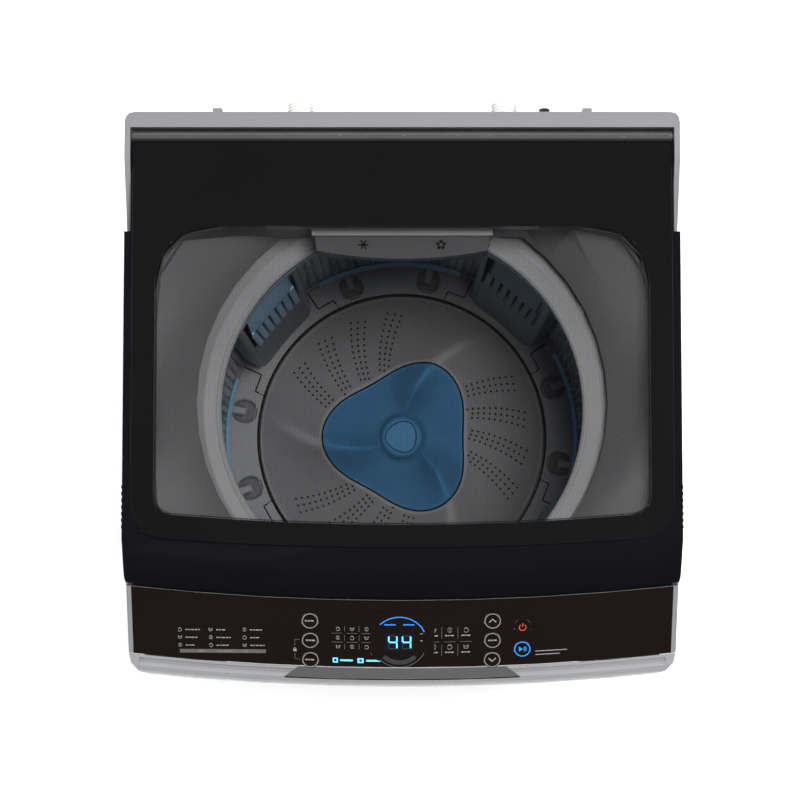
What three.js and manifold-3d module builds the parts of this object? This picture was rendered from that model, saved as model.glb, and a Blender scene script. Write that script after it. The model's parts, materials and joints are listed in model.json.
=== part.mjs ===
// Top load washing machine: a bowed-front cabinet with a hinged glass lid, a suspended tub with a spinning
// basket and pulsator, and the drive under it. Millimetres, +Z up, front towards -Y, origin on the floor.
import * as THREE from 'three'
import { mergeVertices } from 'three/addons/utils/BufferGeometryUtils.js'
import Module from 'manifold-3d'

const wasm = await Module()
wasm.setup()

// ---- Driving dimensions ----
const HALF_WIDTH = 293 // top cover and lid, without the lid's grip ribs
const FRONT = -315 // foremost line, in the middle of the bow
const BOW = 16 // how far the front's ends stand behind its middle
const BOW_START = -90 // the bow fades in between these two depths
const BOW_FULL = -205
const REAR = 293 // back of the rear panel
const INLET_REACH = 315 // tips of the inlet nozzles
const TOP = 990 // top of the rear panel
const GLASS_TOP = 985
const GLASS_THICK = 4
const DECK = 948 // deck of the top cover, under the lid
const COVER_FOOT = 880 // joint between top cover and cabinet
const RIM_SEAT = 276 // back of the top cover, where the rear panel stands
const PLASTIC = 3
const SHEET = 1
const GAP = 0.35

const FASCIA_TOP_Y = -222
const FASCIA_TOP_Z = 944
const FASCIA_TILT = THREE.MathUtils.degToRad(22.5)
const FASCIA_LENGTH = 77
const FASCIA_THICK = 3

const HINGE_Y = 269
const HINGE_Z = 979
const LID_BACK = 263.2
const ARM_END = 168 // forward tip of the rear panel's side arms

const AXIS_Y = -13 // vertical axis of tub, basket and pulsator
const MOUTH_R = 224
const TUB_R = 262
const TUB_FLOOR = 236
const TUB_TOP = 842
const RING_INNER_R = 199
const BASKET_R = 234
const BASE_TOP = 330
const PULSATOR_R = 189.5
const ROD_X = 236
const ROD_Y = 232
const ROUND = 40 // sides of the large round pieces that show
const HIDDEN_ROUND = 24 // sides of the large round pieces inside

// ---- Materials ----
function finish(color, roughness, metalness) {
  return new THREE.MeshStandardMaterial({ color, roughness, metalness })
}

const silver = finish(0x9a9c9f, 0.38, 0.35)
const cabinetPaint = finish(0x8d9093, 0.42, 0.3)
const blackGloss = finish(0x0b0b0d, 0.12, 0)
const fasciaGloss = finish(0x150d0c, 0.15, 0)
const glass = finish(0x101216, 0.05, 0)
const greyPlastic = finish(0x8d8f91, 0.5, 0)
const darkPlastic = finish(0x343537, 0.5, 0)
const pulsatorGrey = finish(0x474849, 0.45, 0)
const bluePlastic = finish(0x2f5f8a, 0.4, 0)
const whitePlastic = finish(0xe8e8e6, 0.45, 0)
const blackPlastic = finish(0x1c1c1e, 0.6, 0)
const steel = finish(0xb9bbbd, 0.3, 0.9)
const castMetal = finish(0x9c9ea1, 0.5, 0.8)
const rubber = finish(0x161616, 0.85, 0)
const board = finish(0x1f5a34, 0.6, 0)

// ---- Solids ----
function solid(geometry) {
  const bare = geometry.clone()
  bare.deleteAttribute('normal')
  bare.deleteAttribute('uv')
  const merged = mergeVertices(bare, 1e-4)
  const place = merged.attributes.position.array
  const index = merged.index.array
  const kept = []
  let volume = 0
  const corner = [new THREE.Vector3(), new THREE.Vector3(), new THREE.Vector3()]
  for (let i = 0; i < index.length; i += 3) {
    const [a, b, c] = [index[i], index[i + 1], index[i + 2]]
    if (a === b || b === c || c === a) continue
    kept.push(a, b, c)
    corner[0].fromArray(place, a * 3)
    corner[1].fromArray(place, b * 3)
    corner[2].fromArray(place, c * 3)
    volume += corner[0].dot(corner[1].cross(corner[2]))
  }
  if (volume < 0) kept.reverse()
  const mesh = new wasm.Mesh({
    numProp: 3,
    vertProperties: new Float32Array(place),
    triVerts: new Uint32Array(kept)
  })
  return new wasm.Manifold(mesh)
}

function box(x0, x1, y0, y1, z0, z1) {
  const geometry = new THREE.BoxGeometry(x1 - x0, y1 - y0, z1 - z0)
  geometry.translate((x0 + x1) / 2, (y0 + y1) / 2, (z0 + z1) / 2)
  return solid(geometry)
}

function prism(shape, z0, z1, curveSegments = 3) {
  const geometry = new THREE.ExtrudeGeometry(shape, { depth: z1 - z0, bevelEnabled: false, curveSegments })
  geometry.translate(0, 0, z0)
  return solid(geometry)
}

function polygon(points) {
  return new THREE.Shape(points.map(([x, y]) => new THREE.Vector2(x, y)))
}

function roundedRect(x0, x1, y0, y1, r) {
  const shape = new THREE.Shape()
  shape.moveTo(x1, y0 + r)
  shape.lineTo(x1, y1 - r)
  shape.absarc(x1 - r, y1 - r, r, 0, Math.PI / 2)
  shape.lineTo(x0 + r, y1)
  shape.absarc(x0 + r, y1 - r, r, Math.PI / 2, Math.PI)
  shape.lineTo(x0, y0 + r)
  shape.absarc(x0 + r, y0 + r, r, Math.PI, Math.PI * 1.5)
  shape.lineTo(x1 - r, y0)
  shape.absarc(x1 - r, y0 + r, r, Math.PI * 1.5, Math.PI * 2)
  return shape
}

// A profile of [radius, height] points, turned about the +Z axis through (x, y).
function turned(profile, x = 0, y = 0, sides = ROUND) {
  const points = profile.map(([r, h]) => new THREE.Vector2(r, h))
  const closed = profile[0][0] < 1e-6 && profile.at(-1)[0] < 1e-6
  if (!closed) points.push(points[0].clone())
  const geometry = new THREE.LatheGeometry(points, sides)
  geometry.rotateX(Math.PI / 2)
  geometry.translate(x, y, 0)
  return solid(geometry)
}

// The same, with the turning axis laid along +Y, so that heights are depths.
function turnedBack(profile, x, z, sides = 14) {
  const points = profile.map(([r, depth]) => new THREE.Vector2(r, depth))
  const closed = profile[0][0] < 1e-6 && profile.at(-1)[0] < 1e-6
  if (!closed) points.push(points[0].clone())
  const geometry = new THREE.LatheGeometry(points, sides)
  geometry.translate(x, 0, z)
  return solid(geometry)
}

function cylinder(x, y, r, z0, z1, sides = 14) {
  const geometry = new THREE.CylinderGeometry(r, r, z1 - z0, sides)
  geometry.rotateX(Math.PI / 2)
  geometry.translate(x, y, (z0 + z1) / 2)
  return solid(geometry)
}

function cylinderBack(x, z, r, y0, y1, sides = 14) {
  const geometry = new THREE.CylinderGeometry(r, r, y1 - y0, sides)
  geometry.translate(x, (y0 + y1) / 2, z)
  return solid(geometry)
}

// Skin through rings of equally many points, closed by a fan at each end.
function loft(rings) {
  const count = rings[0].length
  const positions = rings.flat(2)
  const index = []
  for (let k = 0; k + 1 < rings.length; k++) {
    for (let i = 0; i < count; i++) {
      const next = (i + 1) % count
      const [a, b, c, d] = [k * count + i, k * count + next, (k + 1) * count + next, (k + 1) * count + i]
      index.push(a, b, c, a, c, d)
    }
  }
  for (const [k, flip] of [[0, true], [rings.length - 1, false]]) {
    const middle = [0, 1, 2].map(axis => rings[k].reduce((sum, point) => sum + point[axis], 0) / count)
    const centre = positions.length / 3
    positions.push(...middle)
    for (let i = 0; i < count; i++) {
      const [a, b] = [k * count + i, k * count + (i + 1) % count]
      index.push(...(flip ? [b, a, centre] : [a, b, centre]))
    }
  }
  const geometry = new THREE.BufferGeometry()
  geometry.setAttribute('position', new THREE.Float32BufferAttribute(positions, 3))
  geometry.setIndex(index)
  return solid(geometry)
}

function joined(first, ...others) {
  return others.reduce((whole, other) => whole.add(other), first)
}

function cut(first, ...others) {
  return others.reduce((whole, other) => whole.subtract(other), first)
}

// ---- The bowed front ----
function bowAt(x) {
  return BOW * (x / HALF_WIDTH) ** 2
}

function bowed(geometry) {
  const place = geometry.attributes.position
  for (let i = 0; i < place.count; i++) {
    const share = THREE.MathUtils.clamp((BOW_START - place.getY(i)) / (BOW_START - BOW_FULL), 0, 1)
    place.setY(i, place.getY(i) + share * bowAt(place.getX(i)))
  }
  return geometry
}

// Turns a geometry so that its drawn profile reads as [y, z] and its depth runs along +X.
function sideways(geometry) {
  return geometry.applyMatrix4(new THREE.Matrix4().makeBasis(
    new THREE.Vector3(0, 1, 0), new THREE.Vector3(0, 0, 1), new THREE.Vector3(1, 0, 0)
  ))
}

// A side profile of [y, z] points carried across from x0 to x1 and bent to the bow.
const BOW_STEPS = 8
function across(profile, x0, x1) {
  const geometry = new THREE.ExtrudeGeometry(polygon(profile), {
    depth: x1 - x0,
    steps: BOW_STEPS,
    bevelEnabled: false
  })
  sideways(geometry).translate(x0, 0, 0)
  return solid(bowed(geometry))
}

// Plan outline with rounded corners and a bowed front edge.
function planOutline(half, back, front, bow, frontCorner, backCorner) {
  const edge = x => front + bow * (x / half) ** 2
  const shape = new THREE.Shape()
  shape.moveTo(half, edge(half) + frontCorner)
  shape.lineTo(half, back - backCorner)
  shape.quadraticCurveTo(half, back, half - backCorner, back)
  shape.lineTo(backCorner - half, back)
  shape.quadraticCurveTo(-half, back, -half, back - backCorner)
  shape.lineTo(-half, edge(half) + frontCorner)
  shape.quadraticCurveTo(-half, edge(half), frontCorner - half, edge(half - frontCorner))
  for (let step = 1; step < BOW_STEPS; step++) {
    const x = (frontCorner - half) * (1 - 2 * step / BOW_STEPS)
    shape.lineTo(x, edge(x))
  }
  shape.lineTo(half - frontCorner, edge(half - frontCorner))
  shape.quadraticCurveTo(half, edge(half), half, edge(half) + frontCorner)
  return shape
}

// Point on the fascia's plane, s down the slope from its top edge and w above it, as [y, z].
function slope(s, w = 0) {
  return [
    FASCIA_TOP_Y - s * Math.cos(FASCIA_TILT) - w * Math.sin(FASCIA_TILT),
    FASCIA_TOP_Z - s * Math.sin(FASCIA_TILT) + w * Math.cos(FASCIA_TILT)
  ]
}

// Turns a solid made upright about the origin to stand on the fascia at (x, s).
function ontoFascia(geometry, x, s) {
  const [y, z] = slope(s)
  geometry.rotateX(FASCIA_TILT)
  geometry.translate(x, y + bowAt(x), z)
  return geometry
}

// ---- Assembly ----
const machine = new THREE.Group()

function add(name, manifold, material) {
  const result = manifold.getMesh()
  const geometry = new THREE.BufferGeometry()
  geometry.setAttribute('position', new THREE.Float32BufferAttribute(result.vertProperties, 3))
  geometry.setIndex(Array.from(result.triVerts))
  geometry.computeVertexNormals()
  const mesh = new THREE.Mesh(geometry, material)
  mesh.name = name
  machine.add(mesh)
}

const CORNERS = [['front_left', -1, -1], ['front_right', 1, -1], ['rear_left', -1, 1], ['rear_right', 1, 1]]

// ---- Cabinet and base ----
const CABINET = { half: 285, front: -288, back: 284, corner: 22, foot: 60 }
const SERVICE = { half: 190, low: 135, high: 620 }
const OUTLET = { x: 215, z: 105 }
const BRACKET = { z: 790, reach: 150, flange: 4, thick: 3, drop: 14 } // the tub's rods hang from the brackets

function cabinetShell() {
  const { half, front, back, corner, foot } = CABINET
  const outer = prism(roundedRect(-half, half, front, back, corner), foot, COVER_FOOT - GAP, 4)
  const inside = roundedRect(-half + SHEET, half - SHEET, front + SHEET, back - SHEET, corner - SHEET)
  let shell = outer.subtract(prism(inside, foot - 1, COVER_FOOT + 1, 4))
  for (const side of [-1, 1]) {
    const panel = new THREE.ExtrudeGeometry(roundedRect(-200, 200, 150, 800, 40), {
      depth: 0.2, bevelThickness: 1.6, bevelSize: 6, bevelSegments: 1, curveSegments: 2
    })
    panel.rotateX(Math.PI / 2)
    panel.rotateZ(side * Math.PI / 2)
    panel.translate(side * (half - 0.6), 0, 0)
    shell = shell.add(solid(panel).subtract(box(-half + SHEET / 2, half - SHEET / 2, -280, 280, 0, 900)))
  }
  for (const [, sx, sy] of CORNERS) {
    const [ex, ey] = [sx * (half - 0.5), sy > 0 ? back - 0.5 : front + 0.5]
    const { z, reach, flange, thick, drop } = BRACKET
    const [sideEnd, backEnd] = [[ex, ey - sy * reach], [ex - sx * reach, ey]]
    const edge = [[ex - sx * (reach + flange), ey], [ex, ey - sy * (reach + flange)]]
    const plate = prism(polygon([sideEnd, [ex, ey], backEnd]), z, z + thick)
    const turnedDown = prism(polygon([sideEnd, backEnd, ...edge]), z - drop, z + thick)
    const round = prism(roundedRect(-half, half, front, back, corner), z - drop - 6, z + thick + 1, 4)
    const bracket = plate.add(turnedDown).intersect(round)
    shell = shell.add(bracket.subtract(cylinder(sx * ROD_X, AXIS_Y + sy * ROD_Y, 6.5, 700, 900, 12)))
  }
  const { half: w, low, high } = SERVICE
  return cut(shell, box(-w, w, back - 5, back + 5, low, high), cylinderBack(OUTLET.x, OUTLET.z, 17, 270, 300))
}

function backCover() {
  const y = CABINET.back + GAP
  const plate = roundedRect(-SERVICE.half - 14, SERVICE.half + 14, SERVICE.low - 14, SERVICE.high + 14, 12)
  const sheet = new THREE.ExtrudeGeometry(plate, { depth: 1.2, bevelEnabled: false, curveSegments: 3 })
  sheet.rotateX(Math.PI / 2)
  sheet.translate(0, y + 1.2, 0)
  const raised = new THREE.ExtrudeGeometry(roundedRect(-150, 150, 170, 590, 24), {
    depth: 0.2, bevelThickness: 2, bevelSize: 6, bevelSegments: 1, curveSegments: 2
  })
  raised.rotateX(Math.PI / 2)
  raised.translate(0, y + 1.4, 0)
  let cover = joined(solid(sheet), solid(raised).intersect(box(-300, 300, y + 0.4, y + 9, 0, 900)))
  const LOUVRES = 5
  for (let i = 0; i < LOUVRES; i++) {
    cover = cover.subtract(box(-90, 90, y - 5, y + 9, 430 + i * 22, 438 + i * 22))
  }
  for (const x of [-SERVICE.half - 7, SERVICE.half + 7]) {
    for (const z of [SERVICE.low, (SERVICE.low + SERVICE.high) / 2, SERVICE.high]) {
      cover = cover.add(cylinderBack(x, z, 4.5, y + 1, y + 3.4, 8))
    }
  }
  return cover
}

const FOOT = { x: 245, yFront: -248, yRear: 244, boss: 28 }

function baseFrame() {
  const outer = prism(roundedRect(-287, 287, -290, 286, 24), 24, CABINET.foot - GAP)
  const inner = prism(roundedRect(-256, 256, -259, 255, 30), 20, 64)
  let frame = outer.subtract(inner)
  for (const [, sx, sy] of CORNERS) {
    const [x, y] = [sx * FOOT.x, sy > 0 ? FOOT.yRear : FOOT.yFront]
    const [sideX, endY] = [sx * 284, sy * 283]
    const web = box(Math.min(x, sideX), Math.max(x, sideX), Math.min(y, endY), Math.max(y, endY), 26, 59)
    frame = joined(frame, cylinder(x, y, FOOT.boss, 24, 59, 12), web)
    frame = frame.subtract(cylinder(x, y, 7, 10, 90, 10))
  }
  return frame
}

function foot(x, y) {
  const profile = [[0, 0], [23, 0], [25, 2.5], [25, 9], [12, 13], [12, 22], [6.4, 23.6], [6.4, 54], [0, 54]]
  return turned(profile, x, y, 12)
}

add('cabinet_shell', cabinetShell(), cabinetPaint)
add('back_cover', backCover(), cabinetPaint)
add('base_frame', baseFrame(), blackPlastic)
for (const [place, sx, sy] of CORNERS) {
  add(`foot_${place}`, foot(sx * FOOT.x, sy > 0 ? FOOT.yRear : FOOT.yFront), rubber)
}

// ---- Buttons' places ----
const BUTTON_R = 9.6
const BUTTON_SIDES = 12
const BUTTON_ROWS = [24.5, 47, 69.5]
const BUTTONS = [
  ['program_button', -98, BUTTON_ROWS[0]], ['temperature_button', -98, BUTTON_ROWS[1]],
  ['function_button', -98, BUTTON_ROWS[2]], ['up_button', 96, BUTTON_ROWS[0]],
  ['option_button', 96, BUTTON_ROWS[1]], ['down_button', 96, BUTTON_ROWS[2]],
  ['power_button', 128, 33], ['start_button', 128, 58.5]
]
const DISPLAY = { half: 34, low: 12, high: 70 }

function fasciaPost(x, s, r, low, high) {
  const geometry = new THREE.CylinderGeometry(r, r, high - low, BUTTON_SIDES)
  geometry.rotateX(Math.PI / 2)
  geometry.translate(0, 0, (low + high) / 2)
  return solid(ontoFascia(geometry, x, s))
}

function withoutButtons(whole) {
  return BUTTONS.reduce((rest, [, x, s]) => rest.subtract(fasciaPost(x, s, BUTTON_R + GAP, -12, 9)), whole)
}

// ---- Top cover ----
const OPENING = { half: 262, front: -192, back: 178, square: 7 }
const LIP_TOP = 960
const FUNNEL_FOOT = 886
const HOUSING = { half: 97, front: 168, back: 271, low: 899, high: 944.4, wall: 2.2 }
const NOZZLE = { x: 110, z: 930, r: 13 }
const GLAND = { x: 154, z: 925 }

function openingRing(z, grow, mouth) {
  const middle = (OPENING.front + OPENING.back) / 2
  const [a, b] = [OPENING.half + grow, (OPENING.back - OPENING.front) / 2 + grow]
  const ring = []
  for (let i = 0; i < ROUND; i++) {
    const angle = (i / ROUND) * 2 * Math.PI
    const [c, s] = [Math.cos(angle), Math.sin(angle)]
    const power = OPENING.square
    const square = (Math.abs(c / a) ** power + Math.abs(s / b) ** power) ** (-1 / power)
    const r = mouth ? Math.min(square - mouth.inset, mouth.radius + grow) : square
    ring.push([r * c, middle + r * s, z])
  }
  return ring
}

function funnel(grow, low, high) {
  return loft([
    openingRing(low, grow, { inset: 3, radius: MOUTH_R }),
    openingRing(FUNNEL_FOOT + 4, grow, { inset: 3, radius: MOUTH_R }),
    openingRing(922, grow, { inset: 1, radius: MOUTH_R + 27 }),
    openingRing(DECK - 6, grow),
    openingRing(high, grow)
  ])
}

const FRONT_EDGE = slope(FASCIA_LENGTH + GAP, 0)

function topCover() {
  const seat = FASCIA_THICK + GAP
  const seatTop = slope(0, -seat)
  const seatFoot = slope(FASCIA_LENGTH + GAP, -seat)
  const outerProfile = [
    [RIM_SEAT, COVER_FOOT], [RIM_SEAT, DECK], [FASCIA_TOP_Y + 9, DECK], slope(-GAP), FRONT_EDGE,
    [FRONT_EDGE[0], COVER_FOOT]
  ]
  const innerProfile = [
    [RIM_SEAT - PLASTIC, COVER_FOOT - 1], [RIM_SEAT - PLASTIC, DECK - PLASTIC],
    [FASCIA_TOP_Y + 6, DECK - PLASTIC], [seatTop[0] + 1, seatTop[1] - PLASTIC],
    [FRONT_EDGE[0] + PLASTIC, seatFoot[1] - PLASTIC], [FRONT_EDGE[0] + PLASTIC, COVER_FOOT - 1]
  ]
  const seatProfile = [slope(-GAP, -seat), slope(-GAP, 9), slope(90, 9), slope(90, -seat)]
  const outline = planOutline(HALF_WIDTH - 0.5, RIM_SEAT, FRONT, BOW, 24, 3)
  const innerOutline = planOutline(HALF_WIDTH - PLASTIC, RIM_SEAT - PLASTIC, FRONT, BOW, 22, 2)
  const reach = HALF_WIDTH + 4
  const outer = across(outerProfile, -reach, reach).intersect(prism(outline, 870, 1000))
  const inner = across(innerProfile, -reach, reach).intersect(prism(innerOutline, 870, 1000))
  let cover = outer.subtract(across(seatProfile, -287.4, 287.4)).subtract(inner)
  cover = cover.add(funnel(2.5, FUNNEL_FOOT, LIP_TOP)).subtract(funnel(0, FUNNEL_FOOT - 5, LIP_TOP + 5))
  const window = [slope(9, -30), slope(9, 9), slope(FASCIA_LENGTH - 4, 9), slope(FASCIA_LENGTH - 4, -30)]
  cover = withoutButtons(cover.subtract(across(window, -150, 150)))
  const { half, front, back, low, high } = HOUSING
  cover = cover.subtract(box(-half - 0.5, half + 0.5, front - 30, back + 0.6, low - 0.5, high + 0.3))
  for (const side of [-1, 1]) {
    cover = cover.subtract(cylinderBack(side * NOZZLE.x, NOZZLE.z, NOZZLE.r + 1, 260, 290))
  }
  return cover.subtract(cylinderBack(GLAND.x, GLAND.z, 9, 260, 290))
}

function rearPanel() {
  const front = RIM_SEAT + 0.6
  const outline = planOutline(HALF_WIDTH, REAR, -400, 0, 10, 11)
  const slab = prism(outline, COVER_FOOT, TOP).intersect(box(-300, 300, front, 300, 870, 1000))
  const hollow = box(-HALF_WIDTH + 14, HALF_WIDTH - 14, front + 2.4, REAR - 2.4, COVER_FOOT - 1, TOP - 3)
  let panel = slab.subtract(hollow)
  const armProfile = polygon([
    [front + 2, DECK + 1.5], [front + 2, TOP], [front - 34, TOP], [ARM_END, DECK + 9], [ARM_END, DECK + 1.5]
  ])
  const armThick = 6
  for (const side of [-1, 1]) {
    const arm = new THREE.ExtrudeGeometry(armProfile, { depth: armThick, bevelEnabled: false })
    sideways(arm).translate(side > 0 ? HALF_WIDTH - armThick : -HALF_WIDTH, 0, 0)
    const pinHole = new THREE.CylinderGeometry(3.4, 3.4, 40, 12)
    pinHole.rotateZ(Math.PI / 2)
    pinHole.translate(side * (HALF_WIDTH - 2 - 20), HINGE_Y, HINGE_Z)
    panel = panel.add(solid(arm)).subtract(solid(pinHole))
    panel = panel.subtract(cylinderBack(side * NOZZLE.x, NOZZLE.z, NOZZLE.r + 1, 270, 300))
    panel = panel.add(box(side * 196 - 5, side * 196 + 5, REAR - 1, REAR + 6, 962, 980))
  }
  return panel.subtract(cylinderBack(GLAND.x, GLAND.z, 9, 270, 300))
}

add('top_cover', topCover(), silver)
add('rear_panel', rearPanel(), silver)

// ---- Fascia, buttons and display ----
function displayPrism(grow, low, high) {
  const middle = (DISPLAY.low + DISPLAY.high) / 2
  const reach = (DISPLAY.high - DISPLAY.low) / 2 + grow
  const shape = roundedRect(-DISPLAY.half - grow, DISPLAY.half + grow, -reach, reach, 12)
  const geometry = new THREE.ExtrudeGeometry(shape, {
    depth: high - low, bevelEnabled: false, curveSegments: 4
  })
  geometry.translate(0, 0, low)
  return solid(ontoFascia(geometry, 0, middle))
}

function controlFascia() {
  const profile = [
    slope(0), slope(FASCIA_LENGTH), slope(FASCIA_LENGTH, -FASCIA_THICK), slope(0, -FASCIA_THICK)
  ]
  const fascia = across(profile, -287, 287)
  return withoutButtons(fascia).subtract(displayPrism(GAP, -9, 9))
}

function button(x, s) {
  const profile = [[0, -7], [BUTTON_R, -7], [BUTTON_R, 0.4], [BUTTON_R - 0.8, 1.1], [0, 0.7]]
  const points = profile.map(([r, h]) => new THREE.Vector2(r, h))
  const geometry = new THREE.LatheGeometry(points, BUTTON_SIDES)
  geometry.rotateX(Math.PI / 2)
  return solid(ontoFascia(geometry, x, s))
}

const GROOVE = { near: 112, far: 282, lean: 16, back: -297, front: -305.6, depth: 4 }

// Silver strip under the fascia: a flat pad that runs into a groove on each side, and a rounded rim.
function frontTrim() {
  const [backY, backZ] = slope(FASCIA_LENGTH + 2 * GAP + 0.3)
  const face = [
    [backY, backZ], [-305.6, backZ - 5], [-306.4, backZ - 6.6], [-309.4, backZ - 8],
    [-313, backZ - 12], [-314.7, backZ - 19], [FRONT, COVER_FOOT]
  ]
  const inner = [[FRONT + PLASTIC, COVER_FOOT], [-311, backZ - 20], [-306, backZ - 12.4], [backY, backZ - 8]]
  const outline = prism(planOutline(HALF_WIDTH, REAR, FRONT, BOW, 24, 5), 870, 1000)
  let trim = across([...face, ...inner], -HALF_WIDTH - 3, HALF_WIDTH + 3).intersect(outline)
  const { near, far, lean, back, front, depth } = GROOVE
  const floor = [
    [back, backZ + 9], [back, backZ - 1.4 - depth], [(back + front) / 2, backZ - 3.6 - depth],
    [front, backZ - 5.6], [front, backZ + 9]
  ]
  for (const side of [-1, 1]) {
    const plan = [
      [side * near, back + 9], [side * far, back + 30],
      [side * far, front - 9], [side * (near + lean), front - 9]
    ]
    const ends = prism(polygon(plan), 880, 960)
    const channel = across(floor, Math.min(side * near, side * far), Math.max(side * near, side * far))
    trim = trim.subtract(channel.intersect(ends))
  }
  return withoutButtons(trim)
}

function controlBoard() {
  const plate = new THREE.BoxGeometry(280, 56, 2)
  plate.translate(0, 0, -17)
  let whole = solid(ontoFascia(plate, 0, 40))
  for (const [x, s, w, d, h] of [[-60, 38, 30, 24, 6], [20, 40, 62, 26, 4], [84, 44, 22, 30, 7]]) {
    const chip = new THREE.BoxGeometry(w, d, h)
    chip.translate(0, 0, -16.5 + h / 2)
    whole = whole.add(solid(ontoFascia(chip, x, s).translate(0, -bowAt(x), 0)))
  }
  return whole
}

add('control_fascia', controlFascia(), fasciaGloss)
add('display_lens', displayPrism(0, -4, 0.1), fasciaGloss)
for (const [name, x, s] of BUTTONS) {
  add(name, button(x, s), fasciaGloss)
}
add('front_trim', frontTrim(), silver)
add('control_board', controlBoard(), board)

// ---- Dispenser ----
function dispenserHousing() {
  const { half, front, back, low, high, wall } = HOUSING
  const body = box(-half, half, front, back, low, high)
  const room = box(-half + wall, half - wall, front - 1, back - wall, low + wall, high - wall)
  const spout = box(-60, 60, front + 12, front + 20, low - 1, low + wall + 1)
  return cut(body, room, spout)
}

function dispenserDrawer() {
  const { half, low, high, wall } = HOUSING
  const reach = half - wall - 0.6
  const tray = cut(
    box(-reach, reach, 160, 262, low + wall + 0.5, high - wall - 8),
    box(-reach + 2, -1.2, 167, 260, low + wall + 3, high),
    box(1.2, reach - 2, 167, 260, low + wall + 3, high)
  )
  const outline = new THREE.Shape()
  outline.moveTo(93.5, 167.4)
  outline.lineTo(-93.5, 167.4)
  outline.lineTo(-92, 152)
  outline.quadraticCurveTo(0, 134, 92, 152)
  const face = prism(outline, 908, 943.5, 10)
  const grip = new THREE.CylinderGeometry(14, 14, 130, 16)
  grip.rotateZ(Math.PI / 2)
  grip.translate(0, 144, 906)
  return tray.add(face.subtract(solid(grip)))
}

add('dispenser_housing', dispenserHousing(), greyPlastic)
add('dispenser_drawer', dispenserDrawer(), greyPlastic)

// ---- Lid ----
const WINDOW = { half: 260, front: -142, back: 172 }
const LID_FRONT = -167

function lidFrame() {
  const crest = [-188, GLASS_TOP - 10]
  const skirtEdge = slope(-1.5, 1.6)
  const profile = [
    [LID_BACK, 972], [LID_BACK, GLASS_TOP - 1.5], [LID_BACK - 1.5, GLASS_TOP], [LID_FRONT - 0.4, GLASS_TOP],
    crest, [-207, 965], [-218, 955], skirtEdge, [skirtEdge[0] + 14, DECK + 1.8], [LID_BACK, DECK + 1.8]
  ]
  const inner = [
    [LID_BACK - 2.5, 940], [LID_BACK - 2.5, GLASS_TOP - GLASS_THICK - PLASTIC],
    [-168, GLASS_TOP - GLASS_THICK - PLASTIC], [-186, 971.5], [-204.5, 961.5], [-214.5, 953], [-216, 940]
  ]
  const outline = prism(planOutline(HALF_WIDTH, LID_BACK + 20, -228, 17, 14, 4), 930, 1000)
  const innerOutline = prism(planOutline(HALF_WIDTH - 9, LID_BACK, -224, 17, 12, 4), 930, 1000)
  const frontInner = prism(planOutline(HALF_WIDTH - 2.5, ARM_END - 4.5, -224, 17, 12, 4), 930, 977)
  const shell = across(profile, -HALF_WIDTH - 3, HALF_WIDTH + 3).intersect(outline)
  const hollow = across(inner, -HALF_WIDTH - 3, HALF_WIDTH + 3)
  let lid = cut(shell, hollow.intersect(innerOutline), hollow.intersect(frontInner))
  for (const side of [-1, 1]) {
    const [x0, x1] = side > 0 ? [286.4, 300] : [-300, -286.4]
    lid = lid.subtract(box(x0, x1, ARM_END - 1.5, 300, 930, 1000))
  }
  const glassBed = planOutline(285.4, LID_BACK - 1.6, LID_FRONT, 12, 37, 6)
  lid = lid.subtract(prism(glassBed, GLASS_TOP - GLASS_THICK - GAP, 1000, 4))
  const { half, front, back } = WINDOW
  const rim = planOutline(half + 3, back + 3, front - 3, 12, 22, 70)
  const hole = planOutline(half, back, front, 12, 20, 68)
  lid = cut(lid.add(prism(rim, 968, GLASS_TOP - GLASS_THICK - 1)), prism(hole, 930, 1000))
  const RIBS = 7
  for (const side of [-1, 1]) {
    for (let i = 0; i < RIBS; i++) {
      const y = -146 + i * 7
      const inside = side * (HALF_WIDTH - 1)
      const outside = side * (HALF_WIDTH + 2)
      lid = lid.add(box(Math.min(inside, outside), Math.max(inside, outside), y, y + 3.4, 956, 974))
    }
  }
  return lid
}

function lidGlass() {
  const outline = planOutline(284.8, LID_BACK - 2.2, LID_FRONT + 0.9, 12, 37, 6)
  return prism(outline, GLASS_TOP - GLASS_THICK, GLASS_TOP, 4)
}

function lidHingeBar() {
  const bar = new THREE.CylinderGeometry(5.5, 5.5, 571, 14)
  const pin = new THREE.CylinderGeometry(3, 3, 579, 12)
  const pieces = [bar, pin].map(piece => {
    piece.rotateZ(Math.PI / 2)
    piece.translate(0, HINGE_Y, HINGE_Z)
    return solid(piece)
  })
  return pieces[0].add(pieces[1])
}

function lidSwitch() {
  return joined(box(268.6, 286, -60, -22, 912, 940), box(272, 282, -50, -32, 939, 944))
}

add('lid_frame', lidFrame(), blackGloss)
add('lid_glass', lidGlass(), glass)
add('lid_hinge_bar', lidHingeBar(), steel)
add('lid_switch', lidSwitch(), whitePlastic)

// ---- Water and power entries ----
function inletValve(side) {
  const { x, z, r } = NOZZLE
  const bore = 9
  const nozzle = turnedBack(
    [[bore, 274], [r, 274], [r, 303], [r - 1, 306], [r, 309], [r - 1, INLET_REACH], [bore, INLET_REACH]],
    side * x, z
  )
  const [x0, x1] = side > 0 ? [98.5, 134] : [-134, -98.5]
  const [c0, c1] = side > 0 ? [130, 158] : [-158, -130]
  const body = joined(box(x0, x1, 232, 272.4, 908, 941), box(c0, c1, 236, 266, 912, 938))
  const neck = turnedBack([[bore, 268], [12, 268], [12, 278], [bore, 278]], side * x, z)
  return joined(body.subtract(cylinderBack(side * x, z, bore, 260, 280)), neck, nozzle)
}

function leadGland() {
  return turnedBack(
    [[4, 279.5], [8.4, 279.5], [8.4, 296], [10, 296], [10, 299], [7, 301], [5.6, 309], [4, 309]],
    GLAND.x, GLAND.z
  )
}

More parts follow.
